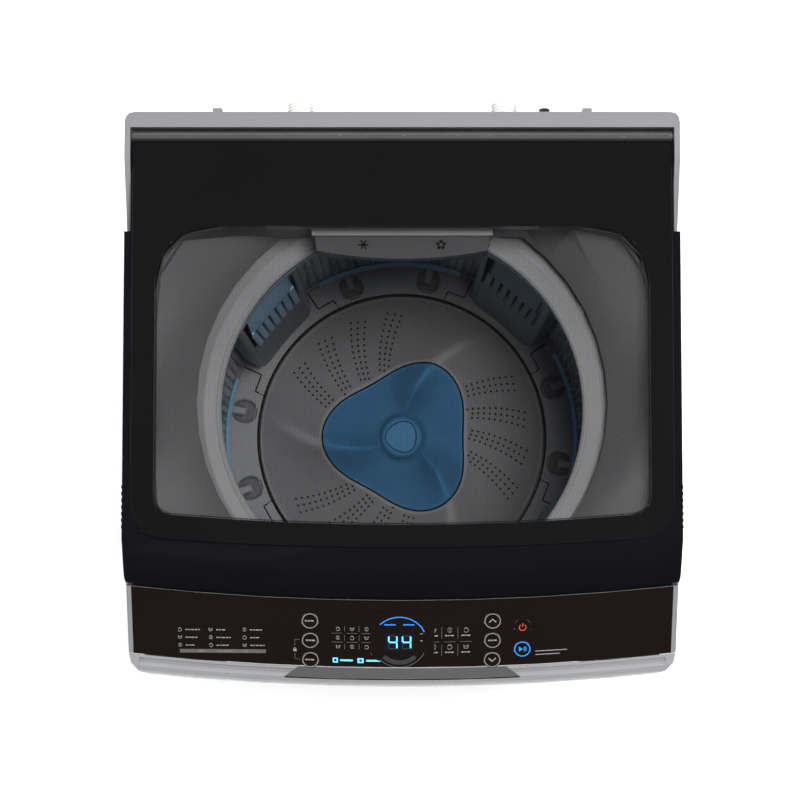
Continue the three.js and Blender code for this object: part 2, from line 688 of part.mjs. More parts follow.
function drainOutlet() {
  const inner = CABINET.back
  return turnedBack(
    [
      [13, 262], [16.3, 262], [16.3, inner + 1], [24, inner + 1],
      [24, inner + 4], [16, inner + 5], [16, 308], [13, 308]
    ],
    OUTLET.x, OUTLET.z
  )
}

function pressureSensor() {
  return joined(
    turned([[0, 905], [24, 905], [26, 908], [26, 918], [20, 922], [0, 922]], 244, 232, 20),
    cylinder(244, 232, 4, 890, 906, 12)
  )
}

add('hot_inlet_valve', inletValve(-1), whitePlastic)
add('cold_inlet_valve', inletValve(1), whitePlastic)
add('lead_gland', leadGland(), whitePlastic)
add('drain_outlet', drainOutlet(), greyPlastic)
add('pressure_sensor', pressureSensor(), whitePlastic)

// ---- Tub and suspension ----
const LUG = { low: 300, high: 322, r: 21 }

function outerTub() {
  let tub = turned([
    [27, TUB_FLOOR], [TUB_R, TUB_FLOOR], [TUB_R, TUB_TOP - 6], [TUB_R + 6, TUB_TOP - 6],
    [TUB_R + 6, TUB_TOP], [TUB_R - 3, TUB_TOP], [TUB_R - 3, TUB_FLOOR + 3.5], [27, TUB_FLOOR + 3.5]
  ], 0, AXIS_Y, HIDDEN_ROUND)
  for (const [, sx, sy] of CORNERS) {
    const x = sx * ROD_X
    const y = AXIS_Y + sy * ROD_Y
    const arm = new THREE.BoxGeometry(86, 30, LUG.high - LUG.low)
    arm.translate(292, 0, (LUG.low + LUG.high) / 2)
    arm.rotateZ(Math.atan2(sy * ROD_Y, sx * ROD_X))
    arm.translate(0, AXIS_Y, 0)
    tub = joined(tub, solid(arm), cylinder(x, y, LUG.r, LUG.low, LUG.high, 12))
    tub = tub.subtract(cylinder(x, y, 9, 290, 330, 10))
  }
  return tub.subtract(cylinder(DRAIN.x, DRAIN.y, 15, TUB_FLOOR - 5, TUB_FLOOR + 10, 10))
}

function tubCover() {
  return turned([
    [RING_INNER_R, 850], [TUB_R - 4, TUB_TOP + GAP], [TUB_R + 6, TUB_TOP + GAP], [TUB_R + 6, 846],
    [TUB_R - 16, 862], [216, 870], [RING_INNER_R, 862]
  ], 0, AXIS_Y)
}

function suspensionRod(x, y) {
  return turned([
    [0, 186], [12, 186], [19, 192], [19, 199.6], [5, 199.6], [5, 794], [13, 794], [13, 804], [0, 804]
  ], x, y, 10)
}

function suspensionSpring(x, y) {
  const [turns, low, high, radius, wire] = [4, 202.6, LUG.low - 2.6, 13, 2.2]
  class Helix extends THREE.Curve {
    getPoint(t) {
      const angle = t * turns * 2 * Math.PI
      const height = low + (high - low) * t
      return new THREE.Vector3(x + radius * Math.cos(angle), y + radius * Math.sin(angle), height)
    }
  }
  const section = polygon([[wire, 0], [0, wire], [-wire, 0], [0, -wire]])
  return solid(new THREE.ExtrudeGeometry(section, {
    steps: turns * 7, extrudePath: new Helix(), bevelEnabled: false
  }))
}

const DRAIN = { x: 140, y: 70 }

add('outer_tub', outerTub(), greyPlastic)
add('tub_cover', tubCover(), greyPlastic)
for (const [place, sx, sy] of CORNERS) {
  const [x, y] = [sx * ROD_X, AXIS_Y + sy * ROD_Y]
  add(`suspension_rod_${place}`, suspensionRod(x, y), steel)
  add(`suspension_spring_${place}`, suspensionSpring(x, y), steel)
}

// ---- Basket ----
function sector(r0, r1, from, to, z0, z1) {
  const [a, b] = [from, to].map(THREE.MathUtils.degToRad)
  const shape = new THREE.Shape()
  shape.absarc(0, AXIS_Y, r1, a, b, false)
  shape.absarc(0, AXIS_Y, r0, b, a, true)
  return prism(shape, z0, z1, 6)
}

const FILTERS = [['left', 139.5], ['right', 49.5]]
const COVERS = [['front left', 229.5], ['front right', 319.5]]
const COLUMN = { half: 14.5, inner: 207, low: 344, high: 772 }
const POCKET = { half: 11.5, low: 530, high: 760 }
const SCOOPS = [31, 59] // degrees on from each column
const FILTER_INNER = 203
const TEETH = 5
const TOOTH_STEP = 4.8 // degrees between the slots of a filter's comb

function basketWall() {
  return turned([
    [BASKET_R, 300], [BASKET_R + 1.2, 300], [BASKET_R + 1.2, 779],
    [BASKET_R + 3, 779], [BASKET_R + 3, 781.6], [BASKET_R, 781.6]
  ], 0, AXIS_Y)
}

function basketBase() {
  const edge = BASKET_R - 0.6
  let base = turned([
    [26, 286], [edge, 286], [edge, BASE_TOP + 6], [edge - 5, BASE_TOP],
    [PULSATOR_R + 6, BASE_TOP - 4], [PULSATOR_R + 2, 299], [26, 296]
  ], 0, AXIS_Y)
  for (const [, middle] of [...FILTERS, ...COVERS]) {
    for (const turn of SCOOPS) {
      const angle = THREE.MathUtils.degToRad(middle + turn)
      const bump = new THREE.CylinderGeometry(8, 14, 8, 8)
      bump.rotateX(Math.PI / 2)
      bump.translate(212 * Math.cos(angle), AXIS_Y + 212 * Math.sin(angle), BASE_TOP - 3)
      base = base.add(solid(bump))
    }
  }
  return base
}

function filterColumn(middle) {
  const { half, inner, low, high } = COLUMN
  const body = sector(inner, BASKET_R - 1, middle - half, middle + half, low, high)
  const pocket = sector(
    inner - 9, BASKET_R - 8, middle - POCKET.half - 0.4, middle + POCKET.half + 0.4, POCKET.low, POCKET.high
  )
  return body.subtract(pocket)
}

function filterSlot(angle, low) {
  const slot = new THREE.BoxGeometry(14, 5, 120)
  slot.translate(FILTER_INNER + 2, 0, low + 72)
  slot.rotateZ(THREE.MathUtils.degToRad(angle))
  slot.translate(0, AXIS_Y, 0)
  return solid(slot)
}

function lintFilter(middle) {
  const { half, low, high } = POCKET
  let filter = sector(FILTER_INNER, BASKET_R - 8.5, middle - half, middle + half, low + 0.5, high - 0.5)
  for (let i = 0; i < TEETH; i++) {
    filter = filter.subtract(filterSlot(middle + (i - (TEETH - 1) / 2) * TOOTH_STEP, low))
  }
  return filter
}

function balanceRing() {
  return turned([[207, 783], [240, 783], [240, 838], [207, 838]], 0, AXIS_Y)
}

function spinHub() {
  let hub = turned([[23, 262], [60, 262], [92, 268], [92, 285.5], [23, 285.5]], 0, AXIS_Y, 20)
  for (let i = 0; i < 3; i++) {
    const arm = new THREE.BoxGeometry(130, 34, 14)
    arm.translate(150, 0, 278.4)
    arm.rotateZ((i * 2 * Math.PI) / 3 + Math.PI / 6)
    arm.translate(0, AXIS_Y, 0)
    hub = hub.add(solid(arm))
  }
  return hub
}

add('basket_wall', basketWall(), steel)
add('basket_base', basketBase(), darkPlastic)
add('balance_ring', balanceRing(), greyPlastic)
add('spin_hub', spinHub(), castMetal)
for (const [side, middle] of FILTERS) {
  add(`filter_column_${side}`, filterColumn(middle), darkPlastic)
  add(`lint_filter_${side}`, lintFilter(middle), side === 'left' ? bluePlastic : darkPlastic)
}

// ---- Pulsator ----
const VANES = 3
const VANE_ANGLE = Math.PI / 3
const CAP_MEAN = 93.5
const CAP_SWING = 12
const BOSS = { radius: 24, foot: 20, clear: 78, top: 341 } // in the cap's middle, under the vanes' crests
const POCKET_Z = 321

function capRadius(angle) {
  return CAP_MEAN + CAP_SWING * Math.cos(VANES * (angle - VANE_ANGLE))
}

// Height of the swirling vanes: a dish with three ridges that rise from the middle and curl as they run
// outwards, steep on one side.
function pulsatorHeight(r, angle) {
  const reach = r / PULSATOR_R
  const phase = VANES * (angle - VANE_ANGLE + 0.7 * (reach - 0.45))
  const ridge = ((1 + Math.cos(phase - 0.6 * Math.cos(phase))) / 2) ** 1.8
  const rise = 40 * Math.sin(Math.PI * Math.min(1, 0.18 + 0.82 * reach) ** 0.8) ** 1.1
  return 325 + 7 * (1 - reach) + rise * ridge * THREE.MathUtils.smoothstep(r, BOSS.foot, BOSS.clear)
}

const SPOKES = 48
function pulsatorRing(radiusAt, heightAt) {
  const ring = []
  for (let i = 0; i < SPOKES; i++) {
    const angle = (i / SPOKES) * 2 * Math.PI
    const r = radiusAt(angle)
    ring.push([r * Math.cos(angle), AXIS_Y + r * Math.sin(angle), heightAt(r, angle)])
  }
  return ring
}

function pulsator() {
  const RINGS = 7
  const rings = [pulsatorRing(() => 34, () => 304), pulsatorRing(() => PULSATOR_R, () => 308)]
  for (let k = 0; k <= RINGS; k++) {
    const share = 1 - k / RINGS
    rings.push(pulsatorRing(a => THREE.MathUtils.lerp(capRadius(a), PULSATOR_R, share), pulsatorHeight))
  }
  rings.push(pulsatorRing(a => capRadius(a), () => POCKET_Z))
  return loft(rings)
}

function pulsatorCap() {
  const RINGS = 4
  const rings = [pulsatorRing(a => capRadius(a) - 0.6, () => POCKET_Z + GAP)]
  for (let k = 0; k < RINGS; k++) {
    const share = 1 - k / RINGS
    rings.push(pulsatorRing(a => THREE.MathUtils.lerp(BOSS.radius, capRadius(a) - 0.6, share), pulsatorHeight))
  }
  rings.push(pulsatorRing(() => BOSS.radius, () => BOSS.top - 2))
  rings.push(pulsatorRing(() => BOSS.radius - 4, () => BOSS.top))
  return loft(rings)
}

add('pulsator', pulsator(), pulsatorGrey)
add('pulsator_cap', pulsatorCap(), bluePlastic)

// ---- Drive ----
const MOTOR_X = -158
const PULLEY = { low: 90, high: 104, clutch: 80, motor: 22 }
const UNDER_TUB = TUB_FLOOR - 0.6

function gearClutch() {
  return turned([
    [0, 84], [7.6, 84], [7.6, 112], [24, 112], [24, 130], [62, 136], [62, 186], [44, 196], [44, 214],
    [70, 220], [70, UNDER_TUB], [22.4, UNDER_TUB], [22.4, 284], [8, 284], [8, 303.4], [0, 303.4]
  ], 0, AXIS_Y, 16)
}

function pulley(x, r, shaft, sides) {
  return turned([
    [shaft, PULLEY.low - 3], [r + 4, PULLEY.low - 3], [r + 4, PULLEY.low], [r, PULLEY.low],
    [r, PULLEY.high], [r + 4, PULLEY.high], [r + 4, PULLEY.high + 3], [shaft, PULLEY.high + 3]
  ], x, AXIS_Y, sides)
}

function motor() {
  const body = turned([
    [0, 86], [5.6, 86], [5.6, 124], [52, 130], [60, 138], [60, 216], [52, 224], [0, 224]
  ], MOTOR_X, AXIS_Y, 16)
  return body.add(box(MOTOR_X - 78, MOTOR_X + 78, AXIS_Y - 50, AXIS_Y + 50, 222, UNDER_TUB))
}

function beltOutline(grow) {
  const [big, small] = [PULLEY.clutch + grow, PULLEY.motor + grow]
  const lean = Math.asin((big - small) / -MOTOR_X)
  const shape = new THREE.Shape()
  const start = Math.PI / 2 + lean
  shape.absarc(0, AXIS_Y, big, -start, start, false)
  shape.absarc(MOTOR_X, AXIS_Y, small, start, 2 * Math.PI - start, false)
  return shape
}

function driveBelt() {
  const [low, high] = [PULLEY.low + 2.4, PULLEY.high - 2.4]
  return prism(beltOutline(3.6), low, high, 12).subtract(prism(beltOutline(0.9), low - 5, high + 5, 12))
}

function drainValve() {
  const { x, y } = DRAIN
  const chamber = joined(cylinderBack(x, 205, 23, y - 50, y + 30), cylinder(x, y, 19, 205, UNDER_TUB))
  const spout = cylinder(x, y, 14, 158, 205)
  return cut(chamber.add(spout), cylinder(x, y, 11, 150, 240), cylinderBack(x, 205, 4, y - 60, y - 10))
}

function drainActuator() {
  const body = joined(box(118, 164, -150, -88, 186, UNDER_TUB), box(126, 156, -90, -84, 192, 218))
  return body.subtract(cylinderBack(DRAIN.x, 205, 4, -112, -80))
}

function pullRod() {
  const rod = cylinderBack(DRAIN.x, 205, 3, -92, DRAIN.y - 22, 12)
  return rod.add(cylinderBack(DRAIN.x, 205, 6, -60, -54, 12))
}

add('gear_clutch', gearClutch(), castMetal)
add('clutch_pulley', pulley(0, PULLEY.clutch, 8.2, 24), castMetal)
add('motor', motor(), castMetal)
add('motor_pulley', pulley(MOTOR_X, PULLEY.motor, 6.2, 12), castMetal)
add('drive_belt', driveBelt(), rubber)
add('drain_valve', drainValve(), whitePlastic)
add('drain_actuator', drainActuator(), whitePlastic)
add('drain_pull_rod', pullRod(), steel)

export default machine
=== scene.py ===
"""Looks of the top load washing machine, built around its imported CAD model. Lengths are in metres."""

import json
import math

import bmesh
import bpy
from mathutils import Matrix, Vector

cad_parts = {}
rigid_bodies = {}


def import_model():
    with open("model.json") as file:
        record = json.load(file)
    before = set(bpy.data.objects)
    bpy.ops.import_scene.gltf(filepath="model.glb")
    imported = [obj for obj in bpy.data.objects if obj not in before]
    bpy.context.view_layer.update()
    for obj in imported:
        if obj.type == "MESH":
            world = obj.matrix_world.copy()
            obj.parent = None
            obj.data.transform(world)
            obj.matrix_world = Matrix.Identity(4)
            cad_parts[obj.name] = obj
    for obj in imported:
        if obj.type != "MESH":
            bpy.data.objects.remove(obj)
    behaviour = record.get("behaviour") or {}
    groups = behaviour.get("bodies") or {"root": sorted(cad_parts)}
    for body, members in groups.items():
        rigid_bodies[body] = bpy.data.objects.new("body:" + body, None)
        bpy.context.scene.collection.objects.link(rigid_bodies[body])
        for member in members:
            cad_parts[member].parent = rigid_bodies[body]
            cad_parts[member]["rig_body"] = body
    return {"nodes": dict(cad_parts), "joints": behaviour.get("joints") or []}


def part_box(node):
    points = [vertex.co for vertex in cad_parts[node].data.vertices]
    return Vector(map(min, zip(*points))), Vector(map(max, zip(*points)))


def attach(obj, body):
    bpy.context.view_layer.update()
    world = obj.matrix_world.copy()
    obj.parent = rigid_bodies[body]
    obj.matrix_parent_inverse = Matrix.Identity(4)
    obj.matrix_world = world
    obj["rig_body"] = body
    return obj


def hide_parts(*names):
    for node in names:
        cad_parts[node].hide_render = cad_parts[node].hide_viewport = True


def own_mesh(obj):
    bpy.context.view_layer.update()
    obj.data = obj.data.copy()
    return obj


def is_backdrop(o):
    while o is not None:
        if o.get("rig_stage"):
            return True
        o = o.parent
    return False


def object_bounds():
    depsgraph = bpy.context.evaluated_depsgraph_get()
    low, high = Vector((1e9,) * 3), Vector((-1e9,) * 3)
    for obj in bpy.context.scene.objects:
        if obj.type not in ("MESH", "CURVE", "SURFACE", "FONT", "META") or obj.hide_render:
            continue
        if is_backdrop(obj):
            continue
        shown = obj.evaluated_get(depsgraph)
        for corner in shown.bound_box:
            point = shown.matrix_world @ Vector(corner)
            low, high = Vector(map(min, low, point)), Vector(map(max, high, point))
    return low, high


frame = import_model()
CAD_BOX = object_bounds()
NODES = frame["nodes"]
BODY_OF = {name: node["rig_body"] for name, node in NODES.items()}

# ---- Driving sizes, read from the frame ----
MM = 0.001
GLASS_LOW, GLASS_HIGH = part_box("lid_glass")
BASKET_LOW, BASKET_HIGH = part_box("basket_wall")
BASE_LOW, BASE_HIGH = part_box("basket_base")
RING_LOW, RING_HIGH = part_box("tub_cover")
PULSATOR_LOW, PULSATOR_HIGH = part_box("pulsator")
BACK_LOW, BACK_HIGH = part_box("back_cover")
FASCIA_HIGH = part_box("control_fascia")[1]
DISPLAY_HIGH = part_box("display_lens")[1]
DRAWER_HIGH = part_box("dispenser_drawer")[1]
PANEL_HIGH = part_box("rear_panel")[1]
CAP_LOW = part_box("pulsator_cap")[0]
CORNERS = ("front_left", "front_right", "rear_left", "rear_right")
UP = (0, 0, 1)
BACKWARDS = (0, 1, 0)

AXIS = Vector((0, (BASKET_LOW.y + BASKET_HIGH.y) / 2, 0))
HALF_WIDTH = PANEL_HIGH.x
DECK = DISPLAY_HIGH.z + 8.5 * MM  # the top cover's flat deck
PRESS = Vector(next(joint["axis"] for joint in frame["joints"] if joint["name"] == "program_press"))
OUT = -PRESS
DOWN = Vector((0, PRESS.z, -PRESS.y))
FASCIA_TOP = Vector((0, -0.222, FASCIA_HIGH.z))  # the middle of the control panel's top edge
BOW = 16 * MM  # how far the ends of the front stand back from its middle
BOW_START = -0.090  # the depth where the bow begins, and the one from which it is full
BOW_FULL = -0.205


def bowed(point):
    """The point moved back by the bow that the front of the machine has away from its middle."""
    share = min(1, max(0, (BOW_START - point.y) / (BOW_START - BOW_FULL)))
    return Vector((point.x, point.y + share * BOW * (point.x / HALF_WIDTH) ** 2, point.z))


def on_fascia(x, down, out=0.0):
    """A point on the bowed control panel: x across, down its slope from the top, out along its normal."""
    return bowed(FASCIA_TOP + Vector((x, 0, 0)) + DOWN * down + OUT * out)


def around(angle, radius, z):
    """A point about the basket's axis."""
    return Vector((radius * math.cos(angle), AXIS.y + radius * math.sin(angle), z))


# ---- Materials ----
def add_node(tree, kind, settings=None, inputs=None):
    """A shader node with its settings, its values and the links to its inputs."""
    made = tree.nodes.new(kind)
    for key, value in (settings or {}).items():
        setattr(made, key, value)
    for key, value in (inputs or {}).items():
        if isinstance(value, bpy.types.NodeSocket):
            tree.links.new(value, made.inputs[key])
        else:
            made.inputs[key].default_value = value
    return made


def shade(colour, share):
    """A colour made lighter or darker, with its alpha."""
    return (*(min(1.0, max(0.0, part * share)) for part in colour), 1.0)


def mapped(tree, source, from_low, from_high, low, high):
    """A value mapped from one range to another, and held at its ends."""
    inputs = {"Value": source, "From Min": from_low, "From Max": from_high, "To Min": low, "To Max": high}
    return add_node(tree, "ShaderNodeMapRange", inputs=inputs).outputs["Result"]


def spread(tree, source, low, high):
    """Maps the middle of a 0 to 1 noise to the range low to high."""
    return mapped(tree, source, 0.3, 0.7, low, high)


def finish(name, colour, roughness, *, metallic=0.0, coat=0.0, specular=0.5, grain=900.0, bump=0.08,
           mottle=0.06, stretch=(1, 1, 1), edge_highlight=0.0, crest_light_hollow_shade=0.0):
    """A surface with cloudy colour, uneven gloss and a fine grain.

    It can have painted highlight along its edges, and painted highlight on its crests with painted shade in
    its hollows.
    """
    material = bpy.data.materials.new(name)
    material.use_nodes = True
    tree = material.node_tree
    shader = tree.nodes["Principled BSDF"]
    place = add_node(tree, "ShaderNodeTexCoord").outputs["Object"]
    scaled = add_node(tree, "ShaderNodeMapping", inputs={"Vector": place, "Scale": stretch}).outputs["Vector"]
    cloud = add_node(tree, "ShaderNodeTexNoise", inputs={"Vector": place, "Scale": 9.0, "Detail": 4.0})
    fine = add_node(tree, "ShaderNodeTexNoise", inputs={"Vector": scaled, "Scale": grain, "Detail": 2.0})
    ramp = add_node(tree, "ShaderNodeValToRGB", inputs={"Fac": cloud.outputs["Fac"]})
    ramp.color_ramp.elements[0].position = 0.3
    ramp.color_ramp.elements[1].position = 0.7
    ramp.color_ramp.elements[0].color = shade(colour, 1 - mottle)
    ramp.color_ramp.elements[1].color = shade(colour, 1 + mottle)
    base = ramp.outputs["Color"]
    # Painted highlight: the edges are made lighter.
    if edge_highlight:
        edge = add_node(tree, "ShaderNodeNewGeometry").outputs["Pointiness"]
        share = mapped(tree, edge, 0.52, 0.6, 0.0, edge_highlight)
        mix = add_node(tree, "ShaderNodeMix", {"data_type": "RGBA"})
        tree.links.new(share, mix.inputs[0])
        tree.links.new(base, mix.inputs[6])
        mix.inputs[7].default_value = shade(colour, 1.5)
        base = mix.outputs[2]
    # Painted highlight on the crests and painted shade in the hollows.
    if crest_light_hollow_shade:
        bend = add_node(tree, "ShaderNodeNewGeometry").outputs["Pointiness"]
        share = mapped(tree, bend, 0.485, 0.515, 1 - crest_light_hollow_shade, 1 + crest_light_hollow_shade)
        toned = add_node(tree, "ShaderNodeVectorMath", {"operation": "SCALE"}, {0: base, "Scale": share})
        base = toned.outputs["Vector"]
    tree.links.new(base, shader.inputs["Base Color"])
    gloss = spread(tree, fine.outputs["Fac"], roughness * 0.88, roughness * 1.12)
    tree.links.new(gloss, shader.inputs["Roughness"])
    relief = add_node(tree, "ShaderNodeBump", inputs={"Height": fine.outputs["Fac"], "Strength": bump,
                                                      "Distance": 0.0004})
    tree.links.new(relief.outputs["Normal"], shader.inputs["Normal"])
    shader.inputs["Metallic"].default_value = metallic
    shader.inputs["Specular IOR Level"].default_value = specular
    shader.inputs["Coat Weight"].default_value = coat
    shader.inputs["Coat Roughness"].default_value = 0.04
    return material


def glowing(name, colour, strength):
    """A lamp seen through a printed symbol, a little uneven in brightness."""
    material = finish(name, colour, 0.35)
    tree = material.node_tree
    shader = tree.nodes["Principled BSDF"]
    place = add_node(tree, "ShaderNodeTexCoord").outputs["Object"]
    cloud = add_node(tree, "ShaderNodeTexNoise", inputs={"Vector": place, "Scale": 220.0})
    tree.links.new(spread(tree, cloud.outputs["Fac"], strength * 0.85, strength * 1.15),
                   shader.inputs["Emission Strength"])
    shader.inputs["Emission Color"].default_value = (*colour, 1.0)
    return material


def self_lit(name, grey, strength):
    """A pale floor with a little light of its own, so that the shadows on it stay soft."""
    material = finish(name, (grey, grey, grey), 0.85, grain=90.0, bump=0.02, mottle=0.01)
    shader = material.node_tree.nodes["Principled BSDF"]
    shader.inputs["Emission Color"].default_value = (1, 1, 1, 1)
    shader.inputs["Emission Strength"].default_value = strength
    return material


def printed_glass(name, pitch, cover):
    """Tinted glass with staggered black dots printed on it."""
    material = finish(name, (0.006, 0.006, 0.007), 0.05, grain=40.0, bump=0.0)
    tree = material.node_tree
    shader = tree.nodes["Principled BSDF"]
    place = add_node(tree, "ShaderNodeTexCoord").outputs["Object"]
    apart = 2 * math.pi / pitch
    waves = []
    for turn in (0, 60, 120):
        angle = math.radians(turn)
        along = (apart * math.cos(angle), apart * math.sin(angle), 0)
        phase = add_node(tree, "ShaderNodeVectorMath", {"operation": "DOT_PRODUCT"}, {0: place, 1: along})
        wave = add_node(tree, "ShaderNodeMath", {"operation": "COSINE"}, {0: phase.outputs["Value"]})
        waves.append(wave.outputs["Value"])
    pair = add_node(tree, "ShaderNodeMath", {"operation": "ADD"}, {0: waves[0], 1: waves[1]}).outputs["Value"]
    total = add_node(tree, "ShaderNodeMath", {"operation": "ADD"}, {0: pair, 1: waves[2]}).outputs["Value"]
    tree.links.new(mapped(tree, total, cover - 0.3, cover + 0.3, 0.08, 0.26), shader.inputs["Alpha"])
    material.surface_render_method = "BLENDED"
    return material


SILVER = finish("silver_paint", (0.235, 0.236, 0.243), 0.36, metallic=0.15, grain=1500.0, bump=0.05,
                mottle=0.015)
BRIGHT_SILVER = finish("bright_silver_paint", (0.34, 0.342, 0.35), 0.3, metallic=0.25,
                       grain=1500.0, bump=0.04)
DARK_SILVER = finish("pad_silver_paint", (0.088, 0.088, 0.089), 0.5, metallic=0.1, grain=1500.0, bump=0.05)
CABINET_PAINT = finish("cabinet_paint", (0.30, 0.305, 0.315), 0.4, metallic=0.15, grain=520.0, bump=0.16,
                       mottle=0.012)
PIANO = finish("piano_black", (0.004, 0.004, 0.0055), 0.07, specular=0.36, grain=60.0, bump=0.015)
GLASS_BORDER = finish("printed_glass_border", (0.0045, 0.0045, 0.005), 0.05, specular=0.45,
                      grain=60.0, bump=0.01)
FASCIA_GLOSS = finish("fascia_gloss", (0.0060, 0.0034, 0.0027), 0.09, specular=0.36, grain=60.0, bump=0.015)
CHROME = finish("lid_edge_chrome", (0.42, 0.42, 0.43), 0.18, metallic=0.9, grain=300.0, bump=0.03)
WINDOW = printed_glass("window_glass", 1.9 * MM, 0.5)
GREY = finish("grey_polypropylene", (0.30, 0.303, 0.31), 0.42, grain=1100.0, bump=0.12)
# Painted highlight along its edges.
DARK = finish("dark_polypropylene", (0.245, 0.247, 0.252), 0.4, grain=1100.0, bump=0.2, edge_highlight=0.25)
# Painted highlight on the vanes' crests and painted shade in their hollows.
VANE_GREY = finish("pulsator_plastic", (0.165, 0.166, 0.170), 0.3, coat=0.2,
                   grain=1000.0, bump=0.08, crest_light_hollow_shade=0.4)
# Painted highlight on the crests and painted shade in the hollows.
BLUE = finish("blue_plastic", (0.040, 0.128, 0.245), 0.3, coat=0.2, grain=1000.0, bump=0.07, crest_light_hollow_shade=0.22)
BLUE_TOP = finish("blue_boss_top", (0.065, 0.19, 0.35), 0.34, coat=0.1, grain=1000.0, bump=0.05)
# A blue painted much lighter than the plastic is, as painted light, because the filter sits in the ring's
# shade.
PAINTED_LIT_BLUE = finish("filter_blue_painted_lit", (0.36, 0.62, 0.88), 0.34, coat=0.1, grain=1000.0, bump=0.07)
RING_GREY = finish("tub_ring_grey", (0.255, 0.257, 0.262), 0.4, grain=1100.0, bump=0.1)
# The top cover's silver painted darker: painted shade for the funnel, which is dimmed behind the tinted
# window.
FUNNEL_SHADED_SILVER = finish("funnel_silver_painted_shade", (0.105, 0.106, 0.109), 0.4, metallic=0.1, grain=1500.0, bump=0.05)
DRAWER_GREY = finish("drawer_grey", (0.072, 0.073, 0.075), 0.42, grain=1100.0, bump=0.12)
WHITE = finish("white_nylon", (0.72, 0.72, 0.70), 0.4, grain=900.0, bump=0.1)
BLACK = finish("black_plastic", (0.012, 0.012, 0.0125), 0.45, grain=1000.0, bump=0.16)
HOLE = finish("hole_shadow", (0.0035, 0.0035, 0.004), 0.7, grain=600.0)
# The base ring's plastic made darker: painted shade for the dips round the scoops.
DIP_SHADE = finish("painted_shade_polypropylene", (0.125, 0.126, 0.130), 0.5, grain=1100.0, bump=0.16)
STEEL = finish("plated_steel", (0.46, 0.465, 0.47), 0.3, metallic=1.0, grain=700.0, bump=0.06, mottle=0.1)
STAINLESS = finish("basket_stainless", (0.55, 0.56, 0.58), 0.26, metallic=1.0, grain=260.0, bump=0.12,
                   stretch=(1, 1, 0.05), mottle=0.12)  # brushed lengthwise
CAST = finish("cast_aluminium", (0.36, 0.365, 0.37), 0.55, metallic=0.8, grain=500.0, bump=0.35, mottle=0.1)
RUBBER = finish("black_rubber", (0.011, 0.011, 0.011), 0.75, grain=700.0, bump=0.3)
BOARD = finish("circuit_board_green", (0.012, 0.09, 0.035), 0.4, grain=400.0)
PRINT_WHITE = finish("white_print", (0.25, 0.25, 0.26), 0.4, mottle=0.03)
PRINT_GREY = finish("grey_print", (0.095, 0.092, 0.092), 0.4, mottle=0.03)
BUTTON_RING = finish("button_ring", (0.30, 0.30, 0.305), 0.3, metallic=0.4)
DISPLAY_DARK = finish("display_window", (0.0035, 0.005, 0.012), 0.06, grain=60.0, bump=0.01)
SEGMENT_OFF = finish("display_grey", (0.032, 0.034, 0.038), 0.35)
CYAN = glowing("display_cyan", (0.12, 0.50, 0.90), 0.75)
BLUE_GLOW = glowing("panel_blue", (0.02, 0.20, 0.62), 0.5)
RED_GLOW = glowing("power_red", (0.60, 0.07, 0.03), 0.3)
FLOOR = self_lit("studio_floor", 0.88, 0.5)


# ---- Pieces and mesh helpers ----
def painted(node, material):
    """Gives a CAD node that stays in view its finish."""
    mesh = NODES[node].data
    mesh.materials.clear()
    mesh.materials.append(material)


def in_mm(pairs):
    """A profile of millimetre pairs in metres."""
    return [(a * MM, b * MM) for a, b in pairs]


def piece(name, mesh, material, body, slot, *replaced):
    """A finished mesh as a piece that rides on a body."""
    made = bpy.data.objects.new(name, mesh)
    bpy.context.scene.collection.objects.link(made)
    mesh.name = name
    mesh.materials.clear()
    mesh.materials.append(material)
    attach(made, body)
    if replaced:
        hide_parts(*replaced)
    return made


def smooth(mesh, angle=40):
    """Smooth shading that keeps edges sharper than the angle."""
    mesh.shade_smooth()
    mesh.set_sharp_from_angle(angle=math.radians(angle))


def from_faces(points, faces, angle=40):
    """A closed mesh from points and faces, with the faces turned outwards."""
    mesh = bpy.data.meshes.new("shape")
    work = bmesh.new()
    corners = [work.verts.new(point) for point in points]
    for face in faces:
        work.faces.new([corners[i] for i in face])
    bmesh.ops.recalc_face_normals(work, faces=work.faces)
    work.to_mesh(mesh)
    work.free()
    smooth(mesh, angle)
    return mesh


def merged(meshes, angle=40):
    """Several meshes as one."""
    mesh = bpy.data.meshes.new("shape")
    work = bmesh.new()
    for part in meshes:
        work.from_mesh(part)
        bpy.data.meshes.remove(part)
    work.to_mesh(mesh)
    work.free()
    smooth(mesh, angle)
    return mesh


def lofted(rings, angle=40, closed_ends=True, looped=False):
    """A skin over rings of the same number of points. A looped one joins its last ring to its first."""
    count = len(rings[0])
    points = [point for ring in rings for point in ring]
    faces = []
    spans = len(rings) if looped else len(rings) - 1
    for row in range(spans):
        low = row * count
        high = (row + 1) % len(rings) * count
        for i in range(count):
            j = (i + 1) % count
            faces.append((low + i, low + j, high + j, high + i))
    if closed_ends and not looped:
        faces.append(tuple(range(count)))
        faces.append(tuple(range(len(points) - count, len(points))))
    return from_faces(points, faces, angle)


def turned(profile, steps=96, centre=AXIS, angle=30, looped=True):
    """A closed profile of (radius, height) points turned about a vertical axis."""
    rings = []
    for radius, height in profile:
        ring = []
        for i in range(steps):
            turn = 2 * math.pi * i / steps
            ring.append((centre.x + radius * math.cos(turn), centre.y + radius * math.sin(turn), height))
        rings.append(ring)
    return lofted(rings, angle, looped=looped)


